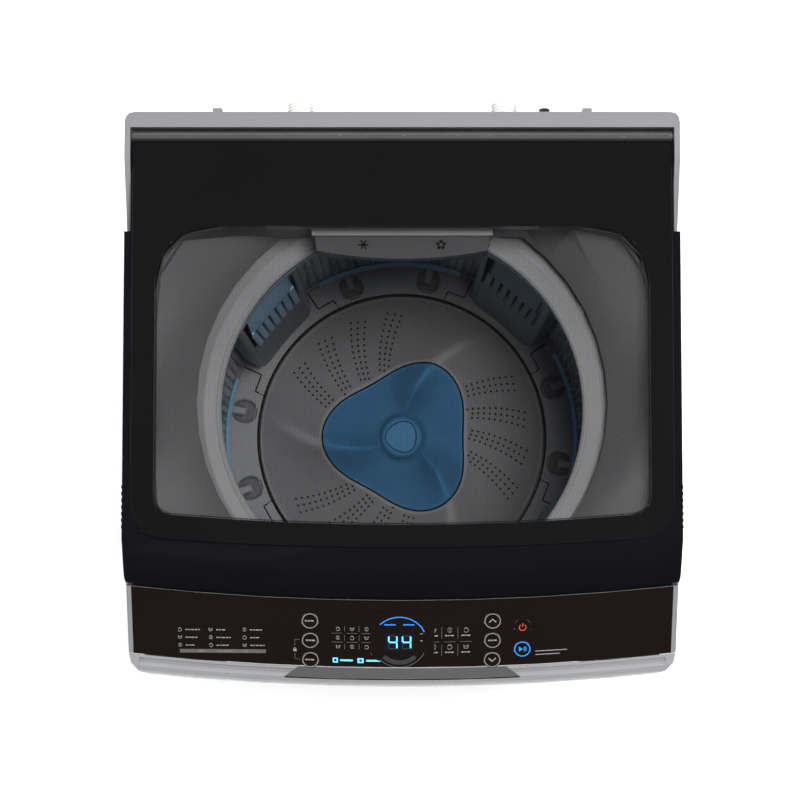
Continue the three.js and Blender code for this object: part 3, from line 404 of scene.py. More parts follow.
def turned_on(start, direction, profile, steps=24, angle=30, looped=False):
    """A profile of (radius, distance) points turned about a line that leaves start in a direction."""
    direction = Vector(direction).normalized()
    turn = direction.to_track_quat("Z", "Y").to_matrix()
    rings = []
    for radius, distance in profile:
        ring = []
        for i in range(steps):
            a = 2 * math.pi * i / steps
            offset = turn @ Vector((radius * math.cos(a), radius * math.sin(a), distance))
            ring.append(Vector(start) + offset)
        rings.append(ring)
    return lofted(rings, angle, looped=looped)


def evaluated(made):
    """The object's mesh with its modifiers applied."""
    graph = bpy.context.evaluated_depsgraph_get()
    mesh = bpy.data.meshes.new_from_object(made.evaluated_get(graph))
    bpy.data.objects.remove(made)
    return mesh


def rounded(mesh, width=0.0, segments=2, limit=34):
    """The mesh with its edges rounded, and with shading that stays flat on its flat faces."""
    smooth(mesh, limit)
    made = bpy.data.objects.new("rounding", mesh)
    bpy.context.scene.collection.objects.link(made)
    if width:
        bevel = made.modifiers.new("edges", "BEVEL")
        bevel.width = width
        bevel.segments = segments
        bevel.limit_method = "ANGLE"
        bevel.angle_limit = math.radians(limit)
    level = made.modifiers.new("shading", "WEIGHTED_NORMAL")
    level.keep_sharp = True
    level.weight = 100
    return evaluated(made)


def cleaned(node):
    """A copy of a CAD node's mesh with its split corners joined and its flat faces whole."""
    mesh = NODES[node].data.copy()
    work = bmesh.new()
    work.from_mesh(mesh)
    bmesh.ops.remove_doubles(work, verts=work.verts, dist=2e-6)
    bmesh.ops.dissolve_limit(work, angle_limit=math.radians(0.3), verts=work.verts, edges=work.edges)
    work.to_mesh(mesh)
    work.free()
    return mesh


def refined(node, material, slot, width=0.8 * MM, limit=34):
    """A CAD node's shape with rounded edges and smooth curves, in place of the node."""
    shape = rounded(cleaned(node), width, 2, limit)
    return piece(f"{node}_shape", shape, material, BODY_OF[node], slot, node)


def plate(outlines, low, high, width=0.0, angle=40):
    """A flat plate between two heights from an outline and the outlines of its holes, with rounded edges."""
    curve = bpy.data.curves.new("outline", "CURVE")
    curve.dimensions = "2D"
    curve.fill_mode = "BOTH"
    curve.extrude = (high - low) / 2 - width
    curve.bevel_depth = width
    curve.bevel_resolution = 2
    curve.offset = -width
    for outline in outlines:
        spline = curve.splines.new("POLY")
        spline.points.add(len(outline) - 1)
        for point, (x, y) in zip(spline.points, outline):
            point.co = (x, y, 0, 1)
        spline.use_cyclic_u = True
    made = bpy.data.objects.new("outline", curve)
    bpy.context.scene.collection.objects.link(made)
    made.location.z = (low + high) / 2
    bpy.context.view_layer.update()
    place = made.matrix_world.copy()
    mesh = evaluated(made)
    mesh.transform(place)
    work = bmesh.new()
    work.from_mesh(mesh)
    bmesh.ops.remove_doubles(work, verts=work.verts, dist=1e-6)
    bmesh.ops.recalc_face_normals(work, faces=work.faces)
    work.to_mesh(mesh)
    work.free()
    return rounded(mesh, limit=angle)


def tube(points, radius, sides=10, looped=False):
    """A round bar along a path."""
    rings = []
    count = len(points)
    for i, point in enumerate(points):
        before = points[(i - 1) % count] if looped or i else point
        after = points[(i + 1) % count] if looped or i < count - 1 else point
        along = (Vector(after) - Vector(before)).normalized()
        side = along.cross(Vector((0, 0, 1)))
        side = side.normalized() if side.length > 1e-3 else Vector((1, 0, 0))
        up = side.cross(along)
        ring = []
        for k in range(sides):
            a = 2 * math.pi * k / sides
            ring.append(Vector(point) + side * (radius * math.cos(a)) + up * (radius * math.sin(a)))
        rings.append(ring)
    return lofted(rings, 60, looped=looped)


def plan_outline(half, back, front, bow, front_corner, back_corner, steps=10):
    """Seen from above: straight sides and back, a bowed front, and soft corners."""
    def edge(x):
        return front + bow * (x / half) ** 2

    def corner(start, middle, end):
        points = []
        for k in range(steps + 1):
            t = k / steps
            ends = Vector(start) * (1 - t) ** 2 + Vector(end) * t ** 2
            points.append(tuple(ends + Vector(middle) * (2 * t * (1 - t))))
        return points

    near = half - front_corner
    outline = corner((half, back - back_corner), (half, back), (half - back_corner, back))
    outline += corner((back_corner - half, back), (-half, back), (-half, back - back_corner))
    outline += corner((-half, edge(half) + front_corner), (-half, edge(half)), (-near, edge(near)))
    outline += [(x, edge(x)) for x in (near * (2 * k / (3 * steps) - 1) for k in range(1, 3 * steps))]
    outline += corner((near, edge(near)), (half, edge(half)), (half, edge(half) + front_corner))
    return outline


def spaced(outline, pitch):
    """Points a fixed distance apart along a closed outline."""
    points = []
    left = 0.0
    for i, start in enumerate(outline):
        a = Vector(start)
        b = Vector(outline[(i + 1) % len(outline)])
        length = (b - a).length
        while left < length:
            points.append(a + (b - a) * (left / length))
            left += pitch
        left -= length
    return points


def discs(centres, radius, height, sides=8):
    """Thin flat discs that stand on points, each with its own upward direction."""
    points = []
    faces = []
    for centre, up in centres:
        turn = Vector(up).to_track_quat("Z", "Y").to_matrix()
        start = len(points)
        for level in (0.0, height):
            for k in range(sides):
                a = 2 * math.pi * k / sides
                offset = Vector((radius * math.cos(a), radius * math.sin(a), level))
                points.append(Vector(centre) + turn @ offset)
        for k in range(sides):
            n = (k + 1) % sides
            faces.append((start + k, start + n, start + sides + n, start + sides + k))
        faces.append(tuple(start + k for k in range(sides)))
        faces.append(tuple(start + sides + k for k in range(sides)))
    return from_faces(points, faces)


# ---- Lid ----
WINDOW_HALF = GLASS_HIGH.x - 24.8 * MM
WINDOW_FRONT = GLASS_LOW.y + 24.1 * MM
WINDOW_BACK = GLASS_HIGH.y - 89 * MM
GLASS_BOW = 12 * MM
GLASS_CORNERS = (37 * MM, 6 * MM)
WINDOW_CORNERS = (20 * MM, 68 * MM)


def lid():
    """The glass with its printed border and clear window, and the frame that it lies in."""
    outer = plan_outline(GLASS_HIGH.x, GLASS_HIGH.y, GLASS_LOW.y, GLASS_BOW, *GLASS_CORNERS)
    window = plan_outline(WINDOW_HALF, WINDOW_BACK, WINDOW_FRONT, GLASS_BOW, *WINDOW_CORNERS, steps=18)
    border = plate([outer, window], GLASS_LOW.z, GLASS_HIGH.z, 0.7 * MM)
    piece("lid_glass_border", border, GLASS_BORDER, "lid", "lid_glass", "lid_glass")
    inset = 0.6 * MM
    pane = plate([window], GLASS_LOW.z + inset, GLASS_HIGH.z - inset)
    piece("lid_glass_window", pane, WINDOW, "lid", "lid_glass")
    pitch = 2.3 * MM
    edge = plan_outline(WINDOW_HALF - pitch / 2, WINDOW_BACK - pitch / 2, WINDOW_FRONT + pitch / 2, GLASS_BOW,
                        *WINDOW_CORNERS, steps=18)
    top = GLASS_HIGH.z - inset + 0.02 * MM
    dots = [((*point, top), UP) for point in spaced(edge, pitch)]
    piece("window_edge_dots", discs(dots, 0.42 * pitch, 0.1 * MM, 6), GLASS_BORDER, "lid", "lid_glass")
    refined("lid_frame", PIANO, "black_gloss", 0.9 * MM)
    refined("lid_hinge_bar", CHROME, "steel", 0.4 * MM)
    refined("lid_switch", WHITE, "white_plastic", 0.5 * MM)


# ---- Top cover, rear panel and front trim ----
def screws(name, places, radius, body):
    """Domed screw heads with a round recess, from (place, direction) pairs."""
    heads = []
    for place, direction in places:
        shape = ((1, 0), (1, 0.25), (0.8, 0.5), (0.45, 0.62), (0.3, 0.62), (0.16, 0.3))
        dome = [(across * radius, tall * radius) for across, tall in shape]
        heads.append(turned_on(place, direction, dome, 16))
    piece(name, merged(heads), STEEL, body, "steel")


def in_funnel(point):
    """Whether a place on the top cover belongs to the sunken funnel round the opening."""
    inside_lip = abs(point.x) < 265.5 * MM and -195.5 * MM < point.y < 181.5 * MM
    return inside_lip and point.z < DECK + 13 * MM


def covers():
    """The top cover, whose funnel is painted darker as shade, the rear panel and the front trim."""
    cover = refined("top_cover", SILVER, "silver_plastic", 1.0 * MM)
    # Painted shade: the funnel's faces get the darker copy of the silver.
    cover.data.materials.append(FUNNEL_SHADED_SILVER)
    for face in cover.data.polygons:
        if all(in_funnel(cover.data.vertices[i].co) for i in face.vertices):
            face.material_index = 1
    refined("rear_panel", SILVER, "silver_plastic", 1.2 * MM)
    refined("front_trim", BRIGHT_SILVER, "silver_plastic", 0.6 * MM)
    trim_pad()


PAD_REACH = 111 * MM
PAD_LEAN = 15 * MM


def trim_pad():
    """The darker pad between the trim's two grooves, a skin that follows the bow and widens to the front,
    with a dark line of painted shade under its front edge.
    """
    back = FASCIA_TOP + DOWN * 78.2 * MM
    front = back + Vector((0, -11.2, -4.85)) * MM
    lift = Vector((0, 0, 0.25)) * MM
    skin = ((back - lift * 3, 0), (back + lift, 0), (front + lift, PAD_LEAN), (front - lift * 3, PAD_LEAN))
    piece("trim_pad", across_front(skin, PAD_REACH), DARK_SILVER, "cabinet", "silver_plastic")
    # Painted shade: a dark strip under the pad's front edge, where the gap is.
    step = front + Vector((0, -0.9, -1.2)) * MM
    lip = ((0.7, -1), (0.7, 0.5), (-0.6, 0.2), (-0.6, -1))
    line = [(step + Vector((0, y, z)) * MM, PAD_LEAN) for y, z in lip]
    piece("trim_line", across_front(line, PAD_REACH), HOLE, "cabinet", "black_plastic")


def across_front(section, reach, steps=28):
    """A section of (point, extra reach) carried across the front and bent to its bow."""
    rings = []
    for k in range(steps + 1):
        share = -1 + 2 * k / steps
        rings.append([bowed(Vector((share * (reach + extra), point.y, point.z))) for point, extra in section])
    return lofted(rings, 30)


def middle(node):
    """The middle of a CAD node's box."""
    low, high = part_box(node)
    return (low + high) / 2


def rear_fittings():
    """Water inlets, lead gland, drain outlet, back cover and the screws at the back."""
    nozzle_x = 110 * MM
    nozzle_z = 930 * MM
    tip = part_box("hot_inlet_valve")[1].y
    collar = in_mm(((14.3, 0.3), (21, 0.3), (21, 2.2), (18, 3.6), (14.3, 3.6)))
    thread = in_mm(((12.6, 0), (13.6, 0.5), (13.6, 0.9), (12.6, 1.4)))
    for side, sign in (("hot", -1), ("cold", 1)):
        refined(f"{side}_inlet_valve", WHITE, "white_plastic", 0.4 * MM)
        place = (sign * nozzle_x, PANEL_HIGH.y - 6.6 * MM, nozzle_z)
        ring = turned_on(place, BACKWARDS, collar, 40, looped=True)
        piece(f"{side}_inlet_collar", ring, BLACK, "cabinet", "black_plastic")
        threads = []
        for k in range(4):
            at = (sign * nozzle_x, tip - (4 + 3 * k) * MM, nozzle_z)
            threads.append(turned_on(at, BACKWARDS, thread, 32, looped=True))
        piece(f"{side}_inlet_threads", merged(threads), WHITE, "cabinet", "white_plastic")
    refined("lead_gland", BLACK, "black_plastic", 0.4 * MM)
    refined("drain_outlet", GREY, "grey_plastic", 0.6 * MM)
    refined("back_cover", CABINET_PAINT, "cabinet_steel", 0.5 * MM)
    places = []
    for x in (-245, -150, 0, 150, 245):
        places.append(((x * MM, PANEL_HIGH.y - 6.2 * MM, 893 * MM), BACKWARDS))
    screws("rear_panel_screws", places, 4.2 * MM, "cabinet")
    heads = []
    margin = 7 * MM
    for x in (BACK_LOW.x + margin, BACK_HIGH.x - margin):
        for share in (0.03, 0.5, 0.97):
            z = BACK_LOW.z + (BACK_HIGH.z - BACK_LOW.z) * share
            heads.append(((x, BACK_HIGH.y - 0.4 * MM, z), BACKWARDS))
    screws("back_cover_screws", heads, 4.4 * MM, "cabinet")


def outside():
    """The cabinet, its base and its feet."""
    refined("cabinet_shell", CABINET_PAINT, "cabinet_steel", 0.7 * MM)
    refined("base_frame", BLACK, "black_plastic", 1.5 * MM)
    for place in CORNERS:
        refined(f"foot_{place}", RUBBER, "rubber", 0.8 * MM)


# ---- Dispenser drawer ----
def drawer():
    """The dispenser and its drawer, with a snowflake and a flower in place of words."""
    refined("dispenser_housing", GREY, "grey_plastic", 0.6 * MM)
    refined("dispenser_drawer", DRAWER_GREY, "grey_plastic", 1.1 * MM)
    top = DRAWER_HIGH.z
    row = 158 * MM
    apart = 41.5 * MM
    marks = []
    for k in range(3):
        angle = math.pi * k / 3
        along = Vector((math.cos(angle), math.sin(angle), 0)) * 5.4 * MM
        centre = Vector((-apart, row, top + 0.1 * MM))
        marks.append(tube([centre - along, centre + along], 0.75 * MM, 8))
    for k in range(5):
        angle = 2 * math.pi * k / 5 + math.pi / 2
        bulb = Vector((apart + 3.6 * MM * math.cos(angle), row + 3.6 * MM * math.sin(angle), top))
        marks.append(discs([(bulb, UP)], 2.0 * MM, 0.25 * MM, 12))
    piece("drawer_symbols", merged(marks), HOLE, "drawer", "black_plastic")


# ---- Control panel ----
def bar(x, down, wide, tall):
    """A flat bar on the panel as one outline, its middle at x and down."""
    left, right, top, foot = x - wide / 2, x + wide / 2, down - tall / 2, down + tall / 2
    return [[(left, top), (right, top), (right, foot), (left, foot)]]


def arc(x, down, radius, thick, start, end, steps=16):
    """An arc on the panel in short quads. Angles are in degrees from +x towards the panel's top edge."""
    quads = []
    for k in range(steps):
        a, b = (math.radians(start + (end - start) * (k + j) / steps) for j in (0, 1))
        inner, outer = radius - thick / 2, radius + thick / 2
        quads.append([(x + r * math.cos(t), down - r * math.sin(t))
                      for r, t in ((inner, a), (outer, a), (outer, b), (inner, b))])
    return quads


def disc(x, down, radius, steps=20):
    """A round dot on the panel."""
    points = ((2 * math.pi * k / steps) for k in range(steps))
    return [[(x + radius * math.cos(t), down + radius * math.sin(t)) for t in points]]


def stroke(points, thick):
    """Straight strokes on the panel between points in turn."""
    quads = []
    for (x0, y0), (x1, y1) in zip(points, points[1:]):
        along = Vector((x1 - x0, y1 - y0)).normalized() * thick / 2
        side = Vector((-along.y, along.x))
        a = Vector((x0, y0)) - along
        b = Vector((x1, y1)) + along
        quads.append([tuple(a + side), tuple(b + side), tuple(b - side), tuple(a - side)])
    return quads


def printed(name, outlines, material, body="cabinet", slot="white_plastic", low=0.02, high=0.14):
    """Thin marks on the panel, from outlines in millimetres."""
    points = []
    faces = []
    for outline in outlines:
        count = len(outline)
        start = len(points)
        for level in (low, high):
            points += [on_fascia(x * MM, down * MM, level * MM) for x, down in outline]
        for k in range(count):
            n = (k + 1) % count
            faces.append((start + k, start + n, start + count + n, start + count + k))
        faces.append(tuple(start + k for k in range(count)))
        faces.append(tuple(start + count + k for k in range(count)))
    piece(name, from_faces(points, faces), material, body, slot)


# Places on the panel in millimetres: x across from the middle, down from the top edge.
DISPLAY_X, DISPLAY_DOWN = -3.0, 47.7
ROWS = (32.8, 43.1, 53.4)


def flake(x, down, size):
    """An open ring under a short bar."""
    return arc(x, down + 0.2 * size, size, 0.5, 200, 520, 10) + bar(x, down - size * 0.9, size, 0.6)


def tub_symbol(x, down, size):
    """A wash tub: an open bowl with a water line."""
    rim = size * 0.8
    foot = size * 0.7
    bowl = [(x - size, down - rim), (x - foot, down + rim), (x + foot, down + rim), (x + size, down - rim)]
    water = [(x - foot, down - rim * 0.3), (x + foot, down - rim * 0.3)]
    return stroke(bowl, 0.5) + stroke(water, 0.5)


def spin_symbol(x, down, size):
    """Two arcs that chase each other round a dot."""
    return arc(x, down, size, 0.5, 20, 160, 8) + arc(x, down, size, 0.5, 200, 340, 8) + disc(x, down, 0.7, 8)


SYMBOLS = (flake, tub_symbol, spin_symbol)


def bow_down(x):
    """How far a straight row drifts down the panel at x, as the panel's front bows."""
    return BOW / MM * (x * MM / HALF_WIDTH) ** 2


def dashes(x, down, length, tall):
    """A broken line of short bars, in place of a word."""
    made = []
    at = 0.0
    for k in range(20):
        wide = (2.6, 1.8, 3.4)[k % 3]
        if at + wide > length:
            break
        made += bar(x + at + wide / 2, down, wide, tall)
        at += wide + 0.8
    return made


def ruled(start, end, tall, pieces=16):
    """A long bar cut into short lengths, as corners of x and offset, so that it can follow the bow."""
    made = []
    for k in range(pieces):
        a, b = (start + (end - start) * (k + j) / pieces for j in (0, 1))
        made.append([(a, -tall / 2), (b, -tall / 2), (b, tall / 2), (a, tall / 2)])
    return made


def drifted(outlines):
    """Marks on the panel moved down it by its bow."""
    return [[(x, down + bow_down(x)) for x, down in outline] for outline in outlines]


def left_list():
    """Three columns of symbols with broken lines, over a ruled strip, as white and grey marks."""
    white = []
    for column, x in enumerate((-237.0, -204.0, -168.0)):
        for row in range(3):
            down = 33.4 + 9.0 * row
            white += SYMBOLS[(column + row) % 3](x, down, 1.9)
            length = (17, 12, 15)[(column + 2 * row) % 3]
            white += dashes(x + 6.0, down + 0.3, length, 1.1)
    strip = 58.4
    grey = [[(x, strip + half) for x, half in band] for band in ruled(-237.5, -145.5, 4.2)]
    white += dashes(-217.0, strip, 9, 0.9) + dashes(-198.0, strip, 20, 0.8) + dashes(-170.0, strip, 9, 0.8)
    return drifted(white), drifted(grey)


def symbol_grid():
    """Nine symbols left of the display with rules between them, as white and grey marks."""
    white = []
    grey = []
    for column, x in enumerate((-68.5, -53.5, -38.0)):
        for row, down in enumerate(ROWS):
            white += SYMBOLS[(column + 2 * row) % 3](x, down, 2.0)
    for x in (-61.5, -46.0):
        for down in ROWS:
            grey += bar(x, down, 0.5, 6.5)
    for down in (38.0, 48.3):
        for x in (-69.5, -53.5, -37.5):
            grey += bar(x, down, 11.5, 0.5)
    return white, grey


def option_grid():
    """Six larger symbols right of the display, each over a broken line, as white and grey marks."""
    white = []
    grey = []
    for column, x in enumerate((33.5, 50.5, 68.0)):
        for row, down in enumerate((34.0, 53.4)):
            white += SYMBOLS[(column + row + 1) % 3](x, down, 2.5)
            white += dashes(x - 5.0, down + 6.4, 10.5, 1.3)
        grey += bar(x, 47.6, 12.5, 0.5)
    for x in (42.0, 59.2):
        for down in (37.0, 57.5):
            grey += bar(x, down, 0.5, 13)
    return white, grey


def side_marks():
    """A padlock in its bracket, two plain lines at the right and three ticks, as white and grey marks."""
    lock = -114.5
    grey = stroke([(lock + 5, 47), (lock, 47), (lock, 54)], 0.5)
    grey += stroke([(lock, 63), (lock, 69.5), (lock + 5, 69.5)], 0.5)
    white = bar(lock, 59.2, 3.4, 2.8) + arc(lock, 57.6, 1.2, 0.5, 0, 180, 8)
    for down, length in ((62.0, 34), (66.0, 26)):
        white += bar(142 + length / 2, down, length, 0.9)
    for down in (30, 38, 46):
        white += bar(20.5, down, 2.6, 0.8)
    return white, grey


def lit_marks():
    """The lit arc over the display, the two lit badges under it, and the plain arc below."""
    reach = 29
    blue = arc(DISPLAY_X, DISPLAY_DOWN, reach, 1.1, 24, 156, 32)
    blue += bar(DISPLAY_X - 10, 27.5, 12, 1.2) + bar(DISPLAY_X + 10, 27.5, 12, 1.2)
    printed("display_arc", blue, BLUE_GLOW)
    row = 69.4
    first, second = -71.5, -44.5
    badges = bar(first, row, 5.6, 5.6) + bar(second, row, 6.6, 5.6)
    badges += bar(-59.5, row, 13.5, 2.0) + bar(-31.0, row, 15, 2.0)
    printed("panel_badges", badges, CYAN)
    inner = disc(first, row, 1.5, 10) + bar(second, row, 2.6, 2.6)
    printed("badge_centres", inner, DISPLAY_DARK, low=0.14, high=0.2)
    lower = arc(DISPLAY_X, DISPLAY_DOWN, reach, 0.7, 205, 335, 24)
    printed("display_lower_arc", lower, PRINT_GREY)


def panel_prints():
    """Plain symbols and broken lines, where such a panel has its words."""
    white = []
    grey = []
    for white_marks, grey_marks in (left_list(), symbol_grid(), option_grid(), side_marks()):
        white += white_marks
        grey += grey_marks
    printed("panel_symbols", white, PRINT_WHITE)
    printed("panel_lines", grey, PRINT_GREY)
    lit_marks()


def segments(x, down, wide, tall, lit, thick=1.7):
    """The lit bars of one seven-bar digit."""
    half_w, half_t = wide / 2, tall / 2
    gap = thick * 0.6
    bars = {
        "top": (x, down - half_t, wide - gap, thick),
        "middle": (x, down, wide - gap, thick),
        "bottom": (x, down + half_t, wide - gap, thick),
        "upper_left": (x - half_w, down - half_t / 2, thick, half_t - gap),
        "upper_right": (x + half_w, down - half_t / 2, thick, half_t - gap),
        "lower_left": (x - half_w, down + half_t / 2, thick, half_t - gap),
        "lower_right": (x + half_w, down + half_t / 2, thick, half_t - gap),
    }
    return [outline for name in lit for outline in bar(*bars[name])]


def display():
    """The lens, the dark window behind it and its two digits."""
    refined("display_lens", FASCIA_GLOSS, "fascia_gloss", 0.3 * MM)
    printed("display_back", bar(DISPLAY_X, DISPLAY_DOWN, 31, 21), DISPLAY_DARK, low=0.12, high=0.18)
    four = ("upper_left", "upper_right", "middle", "lower_right")
    eight = ("top", "middle", "bottom", "upper_left", "upper_right", "lower_left", "lower_right")
    lit = []
    dim = []
    for x in (DISPLAY_X - 7.0, DISPLAY_X + 7.6):
        lit += segments(x, DISPLAY_DOWN, 8.6, 14.6, four)
        dim += segments(x, DISPLAY_DOWN, 8.6, 14.6, [name for name in eight if name not in four], 0.9)
    printed("display_digits", lit, CYAN, low=0.2, high=0.3)
    printed("display_unlit", dim, SEGMENT_OFF, low=0.2, high=0.3)
    sectors = arc(DISPLAY_X, DISPLAY_DOWN, 23.5, 5.0, 225, 315, 18)
    printed("display_sector", sectors, SEGMENT_OFF, low=0.2, high=0.3)


def extent(node, direction):
    """How far a CAD node reaches along a direction, as its lowest and highest place."""
    reach = [vertex.co.dot(direction) for vertex in NODES[node].data.vertices]
    return min(reach), max(reach)


BUTTON_SYMBOLS = {
    "program": lambda x, d: dashes(x - 5.4, d, 11.0, 1.5),
    "temperature": lambda x, d: dashes(x - 4.6, d, 10.0, 1.7),
    "function": lambda x, d: dashes(x - 5.4, d, 11.0, 1.5),
    "up": lambda x, d: stroke([(x - 3.4, d + 1.4), (x, d - 1.9), (x + 3.4, d + 1.4)], 1.1),
    "option": lambda x, d: dashes(x - 4.6, d, 10.0, 1.5),
    "down": lambda x, d: stroke([(x - 3.4, d - 1.4), (x, d + 1.9), (x + 3.4, d - 1.4)], 1.1),
    "power": lambda x, d: arc(x, d + 0.4, 3.6, 0.8, 130, 410, 14) + bar(x, d - 2.4, 0.8, 4.2),
    "start": lambda x, d: [[(x - 3.6, d - 2.8), (x + 0.6, d), (x - 3.6, d + 2.8)]] + bar(x + 2.0, d, 0.9, 5.2)
                          + bar(x + 3.9, d, 0.9, 5.2),
}


def buttons():
    """Round buttons, each with a symbol and all but the power button with a ring, riding on their own bodies.
    """
    for name, symbol in BUTTON_SYMBOLS.items():
        node = f"{name}_button"
        low, top = extent(node, OUT)
        centre = middle(node)
        foot = centre + OUT * (low - centre.dot(OUT))
        tall = top - low
        radius = (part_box(node)[1].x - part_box(node)[0].x) / 2
        inner, outer = radius - 2.0 * MM, radius - 0.9 * MM
        body = BODY_OF[node]
        rim = ((0, 0.7), (0.5, 0.15), (1.4, 0), (2.4, 0.3))
        profile = [(radius, 0)]
        profile += [(radius - inwards * MM, tall - drop * MM) for inwards, drop in rim]
        profile.append((0.5 * MM, tall - 0.4 * MM))
        piece(f"{name}_cap", turned_on(foot, OUT, profile, 48), FASCIA_GLOSS, body, "fascia_gloss", node)
        start = foot + OUT * (tall - 0.35 * MM)
        ring = [(inner, 0), (outer, 0), (outer, 0.4 * MM), (inner, 0.4 * MM)]
        ring_finish = {"start": BLUE_GLOW}.get(name, BUTTON_RING)
        if name != "power":
            shape = turned_on(start, OUT, ring, 48, looped=True)
            piece(f"{name}_ring", shape, ring_finish, body, "white_plastic")
        x = centre.x / MM
        on_plane = (foot - on_fascia(centre.x, 0)).dot(DOWN) / MM
        height = (foot - on_fascia(centre.x, on_plane * MM)).dot(OUT) / MM + tall / MM
        colour = {"power": RED_GLOW, "start": BLUE_GLOW}.get(name, PRINT_WHITE)
        printed(f"{name}_symbol", symbol(x, on_plane), colour, body, low=height - 0.42, high=height - 0.2)


def control_panel():
    """The fascia with all that is printed, lit or pressed on it, and the board behind."""
    refined("control_fascia", FASCIA_GLOSS, "fascia_gloss", 0.4 * MM)
    display()
    panel_prints()
    buttons()
    painted("control_board", BOARD)


# ---- Tub and basket ----
VANES = 3
VANE_ANGLE = math.pi / 3
PULSATOR_R = PULSATOR_HIGH.x
CAP_SWING = 12 * MM
CAP_MEAN = -CAP_LOW.x + 0.6 * MM - CAP_SWING
DISH = PULSATOR_LOW.z + 21 * MM
CAP_GAP = 0.8 * MM
BOSS_FOOT, BOSS_CLEAR, BOSS_TOP = 20 * MM, 78 * MM, DISH + 16 * MM
COLUMN_ANGLES = {"left": math.radians(139.5), "right": math.radians(49.5)}
QUARTERS = [math.radians(turn) for turn in (49.5, 139.5, 229.5, 319.5)]
SCOOPS = [quarter + math.radians(turn) for quarter in QUARTERS for turn in (31, 59)]


def cap_radius(angle):
    """The blue cap's soft triangle."""
    return CAP_MEAN + CAP_SWING * math.cos(VANES * (angle - VANE_ANGLE))


def ease(value, low, high):
    """0 below low and 1 above high, with a smooth rise between."""
    share = min(1, max(0, (value - low) / (high - low)))
    return share * share * (3 - 2 * share)


def pulsator_height(radius, angle):
    """The swirling vanes: a dish with three ridges that curl as they run outwards, steep on one side."""
    reach = radius / PULSATOR_R
    phase = VANES * (angle - VANE_ANGLE + 0.7 * (reach - 0.45))
    from_crest = math.sin((phase - 0.6 * math.cos(phase)) / 2)
    ridge = max(0.0, 1.03 - math.hypot(from_crest, 0.06)) ** 1.25
    rise = 40 * MM * math.sin(math.pi * min(1, 0.18 + 0.82 * reach) ** 0.8) ** 1.1
    return DISH + 7 * MM * (1 - reach) + rise * ridge * ease(radius, BOSS_FOOT, BOSS_CLEAR)


def pulsator_ring(radius_at, height_at, steps=216):
    """A ring about the basket's axis. Its radius and height are numbers, or functions of the place."""
    ring = []
    for i in range(steps):
        angle = 2 * math.pi * i / steps
        radius = radius_at(angle) if callable(radius_at) else radius_at
        height = height_at(radius, angle) if callable(height_at) else height_at
        ring.append(around(angle, radius, height))
    return ring


def vanes_less(drop):
    """The height of the vanes less a drop, as a function of the place."""
    return lambda r, a: pulsator_height(r, a) - drop


def pulsator():
    """The grey disc, which carries the vanes from its rim in to the cap."""
    rows = 44
    edge = 2.5 * MM
    floor = PULSATOR_LOW.z
    rings = [
        pulsator_ring(34 * MM, floor),
        pulsator_ring(PULSATOR_R, floor + 4 * MM),
        pulsator_ring(PULSATOR_R, vanes_less(edge)),
    ]
    for row in range(rows + 1):
        share = (row / rows) ** 1.15
        drop = edge * max(0, 1 - row) * 0.35
        rim = (PULSATOR_R - 1 * MM) * (1 - share)
        inward = lambda a, rim=rim, share=share: rim + (cap_radius(a) + CAP_GAP) * share
        rings.append(pulsator_ring(inward, vanes_less(drop)))
    lip = lambda a: cap_radius(a) + CAP_GAP - 0.3 * MM
    rings.append(pulsator_ring(lip, vanes_less(0.8 * MM)))
    rings.append(pulsator_ring(lip, CAP_LOW.z - 0.4 * MM))
    piece("pulsator_disc", lofted(rings, 50), VANE_GREY, "pulsator", "pulsator_grey", "pulsator")


def slope_up(radius, angle):
    """The pulsator's outward normal at a place."""
    step = 0.5 * MM
    here = around(angle, radius, pulsator_height(radius, angle))
    out = around(angle, radius + step, pulsator_height(radius + step, angle))
    turn = angle + step / radius
    side = around(turn, radius, pulsator_height(radius, turn))
    return (out - here).cross(side - here).normalized()


def pulsator_holes():
    """Fans of small drain holes on the flats between the vanes, as thin dark discs: painted shade in place of
    openings.
    """
    holes = []
    for sector in range(VANES):
        for fan in (-26.5, -9, 8.5, 26):
            for row in (-1, 0, 1):
                for k in range(11):
                    radius = (92 + 7.3 * k + 2.4 * row) * MM
                    turn = 10 + 120 * sector + fan + 3.6 * row - 11 * (radius / MM - 100) / 70
                    angle = math.radians(turn)
                    if radius > cap_radius(angle) + 5 * MM:
                        up = slope_up(radius, angle)
                        point = around(angle, radius, pulsator_height(radius, angle)) - up * 0.1 * MM
                        holes.append((point, up))
    piece("pulsator_holes", discs(holes, 1.55 * MM, 0.26 * MM, 10), HOLE, "pulsator", "black_plastic")


def badge_radius(angle):
    """The soft triangle on top of the boss."""
    return 20.3 * MM + 1.3 * MM * math.cos(VANES * (angle - VANE_ANGLE))


def gap_line(name, inner, outer, height, body):
    """Painted shade for the gap between two parts: a thin dark ring that follows their surface."""
    below = lambda r, a: height(r, a) - 0.8 * MM
    rings = [pulsator_ring(inner, below), pulsator_ring(inner, height),
             pulsator_ring(outer, height), pulsator_ring(outer, below)]
    piece(name, lofted(rings, 30, looped=True), HOLE, body, "dark_plastic")


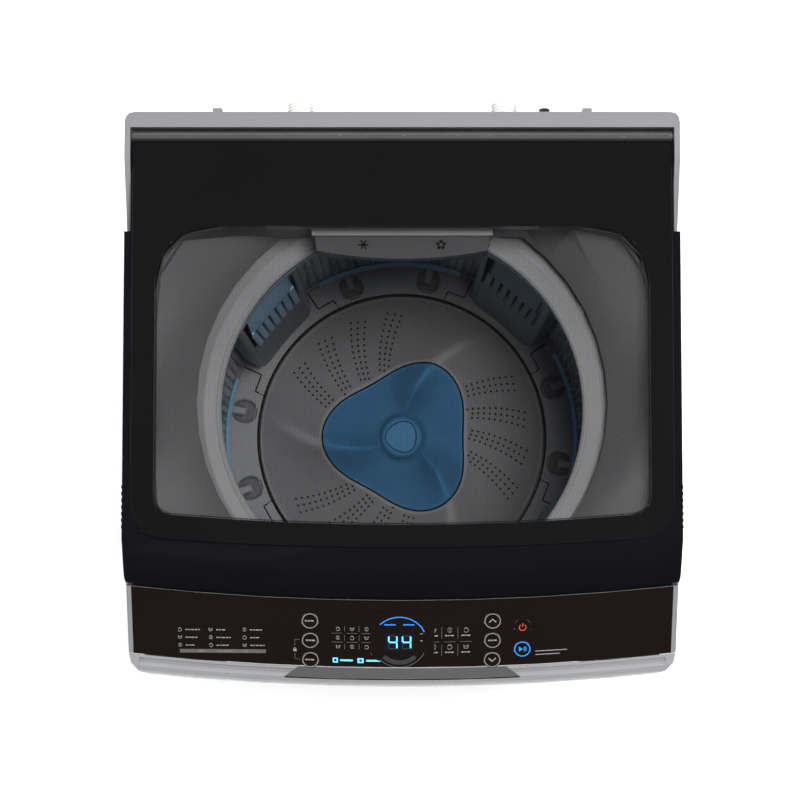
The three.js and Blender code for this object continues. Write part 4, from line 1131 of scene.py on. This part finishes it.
def gap_lines():
    """Painted shade lines round the cap, round the emblem on its boss, and round the whole pulsator."""
    cap_inner = lambda a: cap_radius(a) - 1.3 * MM
    cap_outer = lambda a: cap_radius(a) + CAP_GAP + 0.2 * MM
    gap_line("pulsator_cap_gap", cap_inner, cap_outer, vanes_less(0.1 * MM), "pulsator")
    badge_inner = lambda a: badge_radius(a) - 0.45 * MM
    badge_outer = lambda a: badge_radius(a) + 0.45 * MM
    gap_line("pulsator_badge_gap", badge_inner, badge_outer, lambda r, a: BOSS_TOP - 0.4 * MM, "pulsator")
    on_base = lambda r, a: base_height(r, a) + 0.15 * MM
    gap_line("pulsator_rim_gap", PULSATOR_R + 1.2 * MM, PULSATOR_R + 3.2 * MM, on_base, "basket")


def pulsator_cap():
    """The blue cap: the vanes run over it, down to a soft round boss with a fine groove on top."""
    rows = 24
    foot = 33 * MM
    edge = lambda a: cap_radius(a) - 0.9 * MM
    rings = [pulsator_ring(edge, CAP_LOW.z), pulsator_ring(edge, vanes_less(0.9 * MM))]
    for row in range(rows + 1):
        share = row / rows
        inward = lambda a, share=share: (edge(a) - 0.7 * MM) * (1 - share) + foot * share
        rings.append(pulsator_ring(inward, pulsator_height))
    boss = ((31, 0.06), (29.4, 0.2), (28, 0.42), (26.8, 0.66), (25.4, 0.86), (24, 0.96), (22.6, 1.0))
    for radius, lift in boss:
        blend = lambda r, a, lift=lift: pulsator_height(r, a) * (1 - lift) + BOSS_TOP * lift
        rings.append(pulsator_ring(radius * MM, blend))
    for grow, sink in ((0.55, 0), (0.45, 1.3), (-0.45, 1.3), (-0.55, 0)):
        groove = lambda a, grow=grow: badge_radius(a) + grow * MM
        rings.append(pulsator_ring(groove, BOSS_TOP - sink * MM))
    rings.append(pulsator_ring(3 * MM, BOSS_TOP))
    piece("pulsator_blue_cap", lofted(rings, 50), BLUE, "pulsator", "blue_plastic", "pulsator_cap")
    badge = [pulsator_ring(lambda a: badge_radius(a) - 0.8 * MM, BOSS_TOP - 0.3 * MM),
             pulsator_ring(lambda a: badge_radius(a) - 0.9 * MM, BOSS_TOP + 0.2 * MM),
             pulsator_ring(2 * MM, BOSS_TOP + 0.3 * MM)]
    piece("pulsator_cap_badge", lofted(badge, 40), BLUE_TOP, "pulsator", "blue_plastic")


def perforated_wall():
    """The stainless wall of the basket, with its holes cut as real openings."""
    inner = (BASKET_HIGH.x - 3 * MM) + 0.1 * MM
    low, high = BASKET_LOW.z, BASKET_HIGH.z
    columns = 132
    rows = round((high - low) / (2 * math.pi * inner / columns))
    tall = (high - low) / rows
    hole = 0.24
    points = []
    faces = []
    index = {}

    def corner(column, row):
        key = (round(column * 1000) % (columns * 1000), round(row * 1000))
        if key not in index:
            index[key] = len(points)
            points.append(around(2 * math.pi * column / columns, inner, low + tall * row))
        return index[key]

    for column in range(columns):
        for row in range(rows):
            frame_points = [corner(column + x, row + y) for x, y in
                            ((0, 0), (0.5, 0), (1, 0), (1, 0.5), (1, 1), (0.5, 1), (0, 1), (0, 0.5))]
            centre = (column + 0.5, row + 0.5)
            rim = []
            for k in range(8):
                a = math.radians(225 + 45 * k)
                rim.append(corner(centre[0] + hole * math.cos(a), centre[1] + hole * math.sin(a)))
            plain = row < 2 or row >= rows - 2
            if plain:
                faces.append(tuple(frame_points))
                continue
            for k in range(8):
                n = (k + 1) % 8
                faces.append((frame_points[k], frame_points[n], rim[n], rim[k]))
    mesh = bpy.data.meshes.new("shape")
    mesh.from_pydata(points, [], faces)
    work = bmesh.new()
    work.from_mesh(mesh)
    loose = [vertex for vertex in work.verts if not vertex.link_faces]
    bmesh.ops.delete(work, geom=loose, context="VERTS")
    bmesh.ops.recalc_face_normals(work, faces=work.faces)
    bmesh.ops.solidify(work, geom=work.faces[:], thickness=0.9 * MM)
    work.to_mesh(mesh)
    work.free()
    smooth(mesh, 40)
    piece("basket_perforated_wall", mesh, STAINLESS, "basket", "steel", "basket_wall")


BASE_TOP_Z = BASE_HIGH.z - 6 * MM
SCOOP_R = 213 * MM


def base_height(radius, angle):
    """The base ring's top: a gentle slope to the pulsator, with a block in a rounded dip at each scoop."""
    share = (radius - PULSATOR_R) / (BASE_HIGH.x - PULSATOR_R)
    height = BASE_TOP_Z - 3.4 * MM * (1 - share)
    for scoop in SCOOPS:
        apart = (angle - scoop + math.pi) % (2 * math.pi) - math.pi
        along = apart * radius
        if abs(along) < 24 * MM:
            out = radius - SCOOP_R
            away = math.hypot(along / (17 * MM), out / (19 * MM))
            height -= 7.5 * MM * (1 - ease(away, 0.72, 1.0))
            block = (1 - ease(abs(along), 4.6 * MM, 6.8 * MM)) * ease(out, -5 * MM, -2 * MM)
            height += 8.5 * MM * block * (1 - ease(away, 0.8, 1.1))
    return height


def in_painted_dip_shade(radius, angle):
    """Whether a place on the base ring lies in the dip round a scoop's block, where the ring gets painted
    shade.
    """
    for scoop in SCOOPS:
        along = ((angle - scoop + math.pi) % (2 * math.pi) - math.pi) * radius
        out = radius - SCOOP_R
        in_dip = math.hypot(along / (15.4 * MM), out / (17.4 * MM)) < 1
        if in_dip and not (abs(along) < 6.6 * MM and out > -4.4 * MM):
            return True
    return False


def basket_base():
    """The ring under the wall that the pulsator turns in, with its dips and scoops."""
    edge = BASE_HIGH.x
    low = BASE_LOW.z
    gap = PULSATOR_R + 2.6 * MM
    steps = 720
    sloped = [gap + 0.9 * MM + k * 1.6 * MM for k in range(24)]
    hub = 26 * MM
    profile = [(hub, low), (edge, low), (edge, BASE_TOP_Z + 6 * MM), (edge - 1.5 * MM, BASE_TOP_Z + 6 * MM),
               (edge - 3 * MM, BASE_TOP_Z + 1.5 * MM)]
    profile += [(radius, base_height) for radius in reversed(sloped) if radius < edge - 3.5 * MM]
    lip = lambda r, a: base_height(r, a) - 1.2 * MM
    profile += [(gap, lip), (gap, low + 13 * MM), (hub, low + 10 * MM)]
    rings = [pulsator_ring(radius, height, steps) for radius, height in profile]
    shape = lofted(rings, 38, looped=True)
    made = piece("basket_base_ring", shape, DARK, "basket", "dark_plastic", "basket_base")
    # Painted shade: the dips round the scoops get the darker copy of the ring's plastic.
    made.data.materials.append(DIP_SHADE)
    for face in made.data.polygons:
        spot = face.center - AXIS
        if face.normal.z > 0.05 and face.center.z > BASE_TOP_Z - 14 * MM:
            if in_painted_dip_shade(math.hypot(spot.x, spot.y), math.atan2(spot.y, spot.x)):
                face.material_index = 1
    lips = []
    foot, top = BASE_TOP_Z - 3.9 * MM, BASE_TOP_Z - 2.4 * MM
    for radius in (gap + 2.4 * MM, gap + 5.6 * MM):
        outer = radius + 1.1 * MM
        lips.append(turned([(radius, foot), (outer, foot), (outer, top), (radius, top)], 180))
    piece("base_ring_lips", merged(lips), DARK, "basket", "dark_plastic")
    seams()


# A joint's corners: radius in millimetres, and degrees from the middle of its channel.
SEAM = ((233, 16.4), (205, 16.4), (205, 23.0), (192.5, 23.6))


def seams():
    """The dark stepped joints in the base ring beside each upright channel."""
    strips = []
    for quarter in QUARTERS:
        for side in (-1, 1):
            corners = [around(quarter + side * math.radians(turn), radius * MM, 0) for radius, turn in SEAM]
            for a, b in zip(corners, corners[1:]):
                strips.append(seam_strip(a, b))
    piece("base_ring_seams", merged(strips), HOLE, "basket", "dark_plastic")


def seam_strip(a, b):
    """One straight joint on the base ring, as a low dark strip that follows the ring's slope."""
    along = (b - a).normalized()
    across = Vector((-along.y, along.x, 0)) * 0.9 * MM
    rings = []
    for k in range(5):
        spot = a + (b - a) * k / 4
        from_axis = spot - AXIS
        radius = math.hypot(from_axis.x, from_axis.y)
        height = base_height(radius, math.atan2(from_axis.y, from_axis.x))
        rings.append([Vector((*(spot + offset).xy, height + lift * MM))
                      for offset, lift in ((across, -1), (across, 0.22), (-across, 0.22), (-across, -1))])
    return lofted(rings, 30)


def blue_band():
    """The blue strip that shows between the base ring and the wall, broken by the four channels."""
    inner = BASE_HIGH.x + 0.4 * MM
    meshes = []
    for k, quarter in enumerate(QUARTERS):
        ahead = QUARTERS[(k + 1) % 4]
        start = quarter + math.radians(21)
        end = quarter + math.radians(21) + (ahead - quarter) % (2 * math.pi) - math.radians(42)
        rings = []
        steps = 24
        for i in range(steps + 1):
            angle = start + (end - start) * i / steps
            section = [(inner - 6.0 * MM, BASE_TOP_Z + 6.3 * MM), (inner - 0.6 * MM, BASE_TOP_Z + 6.3 * MM),
                       (inner - 0.6 * MM, BASE_TOP_Z + 20 * MM), (inner - 2.2 * MM, BASE_TOP_Z + 22 * MM),
                       (inner - 6.0 * MM, BASE_TOP_Z + 12 * MM)]
            rings.append([around(angle, radius, z) for radius, z in section])
        meshes.append(lofted(rings, 30))
    # The band gets the same blue that is painted lighter, as painted light.
    piece("basket_blue_band", merged(meshes), PAINTED_LIT_BLUE, "basket", "blue_plastic")


def sector_outline(inner, outer, start, end, steps=20):
    """Seen from above, a piece of a ring about the basket's axis."""
    arcs = []
    for radius, a, b in ((outer, start, end), (inner, end, start)):
        for k in range(steps + 1):
            point = around(a + (b - a) * k / steps, radius, 0)
            arcs.append((point.x, point.y))
    return arcs


def water_channels():
    """The four upright channels in the basket. Two hold the lint filters and two are plain."""
    for side in ("left", "right"):
        refined(f"filter_column_{side}", DARK, "dark_plastic", 3.2 * MM)
        channel_belly(side)
    covers = []
    for quarter in QUARTERS[2:]:
        half = math.radians(14)
        outline = sector_outline(209 * MM, BASE_HIGH.x - 0.6 * MM, quarter - half, quarter + half)
        covers.append(plate([outline], BASE_TOP_Z + 9 * MM, 771 * MM, 3 * MM))
    piece("water_channel_covers", merged(covers), DARK, "basket", "dark_plastic")


def channel_belly(side):
    """The rounded front of a filter's channel, which swells over the base ring."""
    angle = COLUMN_ANGLES[side]
    half = math.radians(13.6)
    foot = BASE_TOP_Z - 1.5 * MM
    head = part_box(f"lint_filter_{side}")[0].z
    rings = []
    levels, steps = 22, 26
    for row in range(levels + 1):
        share = row / levels
        ring = []
        for k in range(steps + 1):
            t = -1 + 2 * k / steps
            swell = (1 - abs(t) ** 3.4) ** 0.5
            dip = 26 * MM * (1 - t * t) * share
            face = 209 * MM - (7.5 - 3.0 * share) * MM * swell
            ring.append(around(angle + half * t, face, foot + (head + 22 * MM - foot) * share - dip))
        for t in (1, -1):
            ring.append(around(angle + half * t, 216 * MM, foot + (head + 22 * MM - foot) * share))
        rings.append(ring)
    piece(f"channel_belly_{side}", lofted(rings, 40), DARK, "basket", "dark_plastic")


def lint_filters():
    """Each filter is a smooth shell that leans back above a comb of broad upright ribs. The left one is
    painted bright blue, as lit, and the right one dark, as in shade.
    """
    for side, angle in COLUMN_ANGLES.items():
        # Painted light and shade: the left filter is bright blue as lit, and the right one is dark as shaded.
        material = PAINTED_LIT_BLUE if side == "left" else DARK
        slot = "blue_plastic" if side == "left" else "dark_plastic"
        low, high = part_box(f"lint_filter_{side}")
        half = math.radians(11.3)
        comb_top = low.z + 0.52 * (high.z - low.z)
        parts = []
        rings = []
        levels, steps = 18, 22
        for row in range(levels + 1):
            share = row / levels
            face = 204.5 * MM + 7 * MM * share ** 1.4
            ring = []
            for k in range(steps + 1):
                t = -1 + 2 * k / steps
                swell = (1 - abs(t) ** 4) ** 0.5
                z = comb_top - 3 * MM + (high.z - 1 * MM - comb_top) * share
                ring.append(around(angle + half * t, 214 * MM - (214 * MM - face) * swell, z))
            ring += [around(angle + half, 222 * MM, z), around(angle - half, 222 * MM, z)]
            rings.append(ring)
        parts.append(lofted(rings, 50))
        ribs = 7
        for k in range(ribs):
            t = -1 + (2 * k + 1) / ribs
            wide = half * 0.36 * 2 / ribs
            foot = low.z + 2 * MM + 20 * MM * t * t
            rings = []
            for z, face in ((foot, 202.5), (foot + 4 * MM, 201.2), (comb_top, 206.5)):
                cheek = face + 1.2
                section = ((-1, cheek), (-0.6, face), (0.6, face), (1, cheek), (1, 221), (-1, 221))
                rings.append([around(angle + half * t + turn * wide, radius * MM, z)
                              for turn, radius in section])
            parts.append(lofted(rings, 30))
        back = sector_outline(214 * MM, 222 * MM, angle - half, angle + half)
        parts.append(plate([back], low.z + 1 * MM, comb_top, 0.6 * MM))
        piece(f"lint_filter_{side}_shell", merged(parts), material, "basket", slot, f"lint_filter_{side}")


def tub_ring():
    """The grey ring over the tub, with raised lines round it, screw caps and narrow slots drawn as dark
    plates, painted shade in place of openings.
    """
    inner = 199 * MM
    foot = RING_LOW.z
    top = RING_HIGH.z
    outer = RING_HIGH.x
    shoulder = ((16, 9.5), (20, 6.0), (22, 5.4))
    crest = ((231, 5.6), (228, 4.6), (219.6, 0.6), (218.4, 0), (216.6, 0), (215, 1.2), (205, 5.2),
             (203.4, 4.4), (201.4, 4.6))
    profile = [(outer, foot), (outer, foot + 3.6 * MM)]
    profile += [(outer - inwards * MM, top - drop * MM) for inwards, drop in shoulder]
    profile += [(radius * MM, top - drop * MM) for radius, drop in crest]
    profile += [(inner, top - 7.5 * MM), (inner, top - 18 * MM), (inner + 1.6 * MM, top - 19.6 * MM),
                (outer - 10 * MM, foot)]
    piece("tub_ring", turned(profile, 144, angle=24), RING_GREY, "tub", "grey_plastic", "tub_cover")
    cap = in_mm(((7.5, 0), (7.5, 0.9), (6.4, 1.6), (5.6, 1.6), (5.2, 0.9), (0.6, 0.9)))
    caps = []
    for turn in (209, 29, 119, 299):
        spot = around(math.radians(turn), 222.4 * MM, top - 3.4 * MM)
        caps.append(turned_on(spot, UP, cap, 28))
    piece("tub_ring_caps", merged(caps), RING_GREY, "tub", "grey_plastic")
    # Painted shade: dark plates where the slots open.
    slots = []
    for turn in (205.5, 25.5, 115.5, 295.5):
        angle = math.radians(turn)
        half = math.radians(5.5)
        outline = sector_outline(233.0 * MM, 234.4 * MM, angle - half, angle + half, 16)
        slots.append(plate([outline], top - 9 * MM, top - 5.0 * MM))
    piece("tub_ring_slots", merged(slots), HOLE, "tub", "black_plastic")


def inside():
    """The parts that only show through gaps keep their CAD shapes and get plain finishes."""
    kept = {
        "outer_tub": GREY, "balance_ring": WHITE, "spin_hub": CAST, "gear_clutch": CAST,
        "clutch_pulley": CAST, "motor": CAST, "motor_pulley": CAST, "drive_belt": RUBBER,
        "drain_valve": WHITE, "drain_actuator": WHITE, "drain_pull_rod": STEEL, "pressure_sensor": WHITE,
    }
    for place in CORNERS:
        kept[f"suspension_rod_{place}"] = STEEL
    for node, material in kept.items():
        painted(node, material)


def suspension_springs():
    """The four springs with rounded edges, each with a mesh of its own."""
    travel = next(joint for joint in frame["joints"] if joint["name"] == "tub_bounce")["range_m"]
    drop = max(abs(limit) for limit in travel)
    for place in CORNERS:
        spring = refined(f"suspension_spring_{place}", STEEL, "steel", 0.3 * MM)
        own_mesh(spring)


# ---- Studio ----
def light(name, place, target, size, power, height=None):
    """A soft lamp that points at a target and is not seen itself."""
    data = bpy.data.lights.new(name, "AREA")
    data.energy = power
    data.shape = "RECTANGLE"
    data.size = size
    data.size_y = height or size
    made = bpy.data.objects.new(name, data)
    bpy.context.scene.collection.objects.link(made)
    made.location = place
    made.rotation_euler = (Vector(target) - Vector(place)).to_track_quat("-Z", "Y").to_euler()
    made.visible_camera = False
    return made


def sky():
    """Soft light from all round, dimmer above and in front so that the black glass stays black there."""
    world = bpy.data.worlds.new("studio")
    bpy.context.scene.world = world
    world.use_nodes = True
    tree = world.node_tree
    tree.nodes.clear()
    place = add_node(tree, "ShaderNodeTexCoord").outputs["Generated"]
    axes = add_node(tree, "ShaderNodeSeparateXYZ", inputs={"Vector": place})
    ramp = add_node(tree, "ShaderNodeValToRGB", inputs={"Fac": axes.outputs["Z"]})
    stops = ((0.0, 0.42), (0.3, 0.55), (0.72, 0.5), (0.93, 0.16), (0.985, 0.08))
    while len(ramp.color_ramp.elements) < len(stops):
        ramp.color_ramp.elements.new(0.5)
    for element, (position, level) in zip(ramp.color_ramp.elements, stops):
        element.position = position
        element.color = (level, level, level * 1.01, 1)
    strength = mapped(tree, axes.outputs["Y"], -0.9, -0.1, 0.08, 1.0)
    kind = "ShaderNodeBackground"
    lit = add_node(tree, kind, inputs={"Color": ramp.outputs["Color"], "Strength": strength}).outputs[0]
    seen = add_node(tree, kind, inputs={"Color": (0.93, 0.93, 0.93, 1), "Strength": 1.0}).outputs[0]
    camera_ray = add_node(tree, "ShaderNodeLightPath").outputs["Is Camera Ray"]
    mixed = add_node(tree, "ShaderNodeMixShader", inputs={0: camera_ray, 1: lit, 2: seen})
    add_node(tree, "ShaderNodeOutputWorld", inputs={"Surface": mixed.outputs[0]})


def studio():
    """A pale floor, one main lamp above, two tall strips in front and two fills."""
    sky()
    floor = bpy.data.objects.new("floor", plate([[(-9, -9), (9, -9), (9, 9), (-9, 9)]], -0.02, 0.0))
    bpy.context.scene.collection.objects.link(floor)
    floor.data.materials.append(FLOOR)
    floor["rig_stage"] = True
    key = light("overhead", (0.42, 0.20, 4.2), (0, 0, 0.6), 0.8, 150)
    key.visible_glossy = False
    light("strip_left", (-2.4, -2.3, 1.1), (-0.2, -0.2, 0.9), 0.35, 30, 1.6)
    light("strip_right", (2.4, -2.3, 1.1), (0.2, -0.2, 0.9), 0.35, 20, 1.6)
    light("fill_left", (-3.2, 1.0, 2.2), (0, 0, 0.5), 2.0, 25)
    light("fill_right", (3.2, 1.0, 2.2), (0, 0, 0.5), 2.0, 25)
    view = bpy.context.scene.view_settings
    view.view_transform = "Standard"
    view.look = "None"
    view.exposure = 0.0
    view.gamma = 1.0


def camera():
    """Almost straight above, and leaning a little."""
    data = bpy.data.cameras.new("camera")
    data.lens = 103.6
    data.sensor_width = 36.0
    made = bpy.data.objects.new("camera", data)
    bpy.context.scene.collection.objects.link(made)
    made.location = (-0.0024, -0.190, PANEL_HIGH.z + 2.4)
    made.rotation_euler = (math.radians(4.24), 0, 0)
    bpy.context.scene.camera = made


camera()
covers()
lid()
drawer()
control_panel()
rear_fittings()
outside()
tub_ring()
perforated_wall()
basket_base()
blue_band()
water_channels()
lint_filters()
pulsator()
pulsator_holes()
pulsator_cap()
gap_lines()
suspension_springs()
inside()
studio()


def plain(bounds):
    """A box's two corners as lists of numbers."""
    return [list(corner) for corner in bounds]


{"cad": plain(CAD_BOX), "visual": plain(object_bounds())}
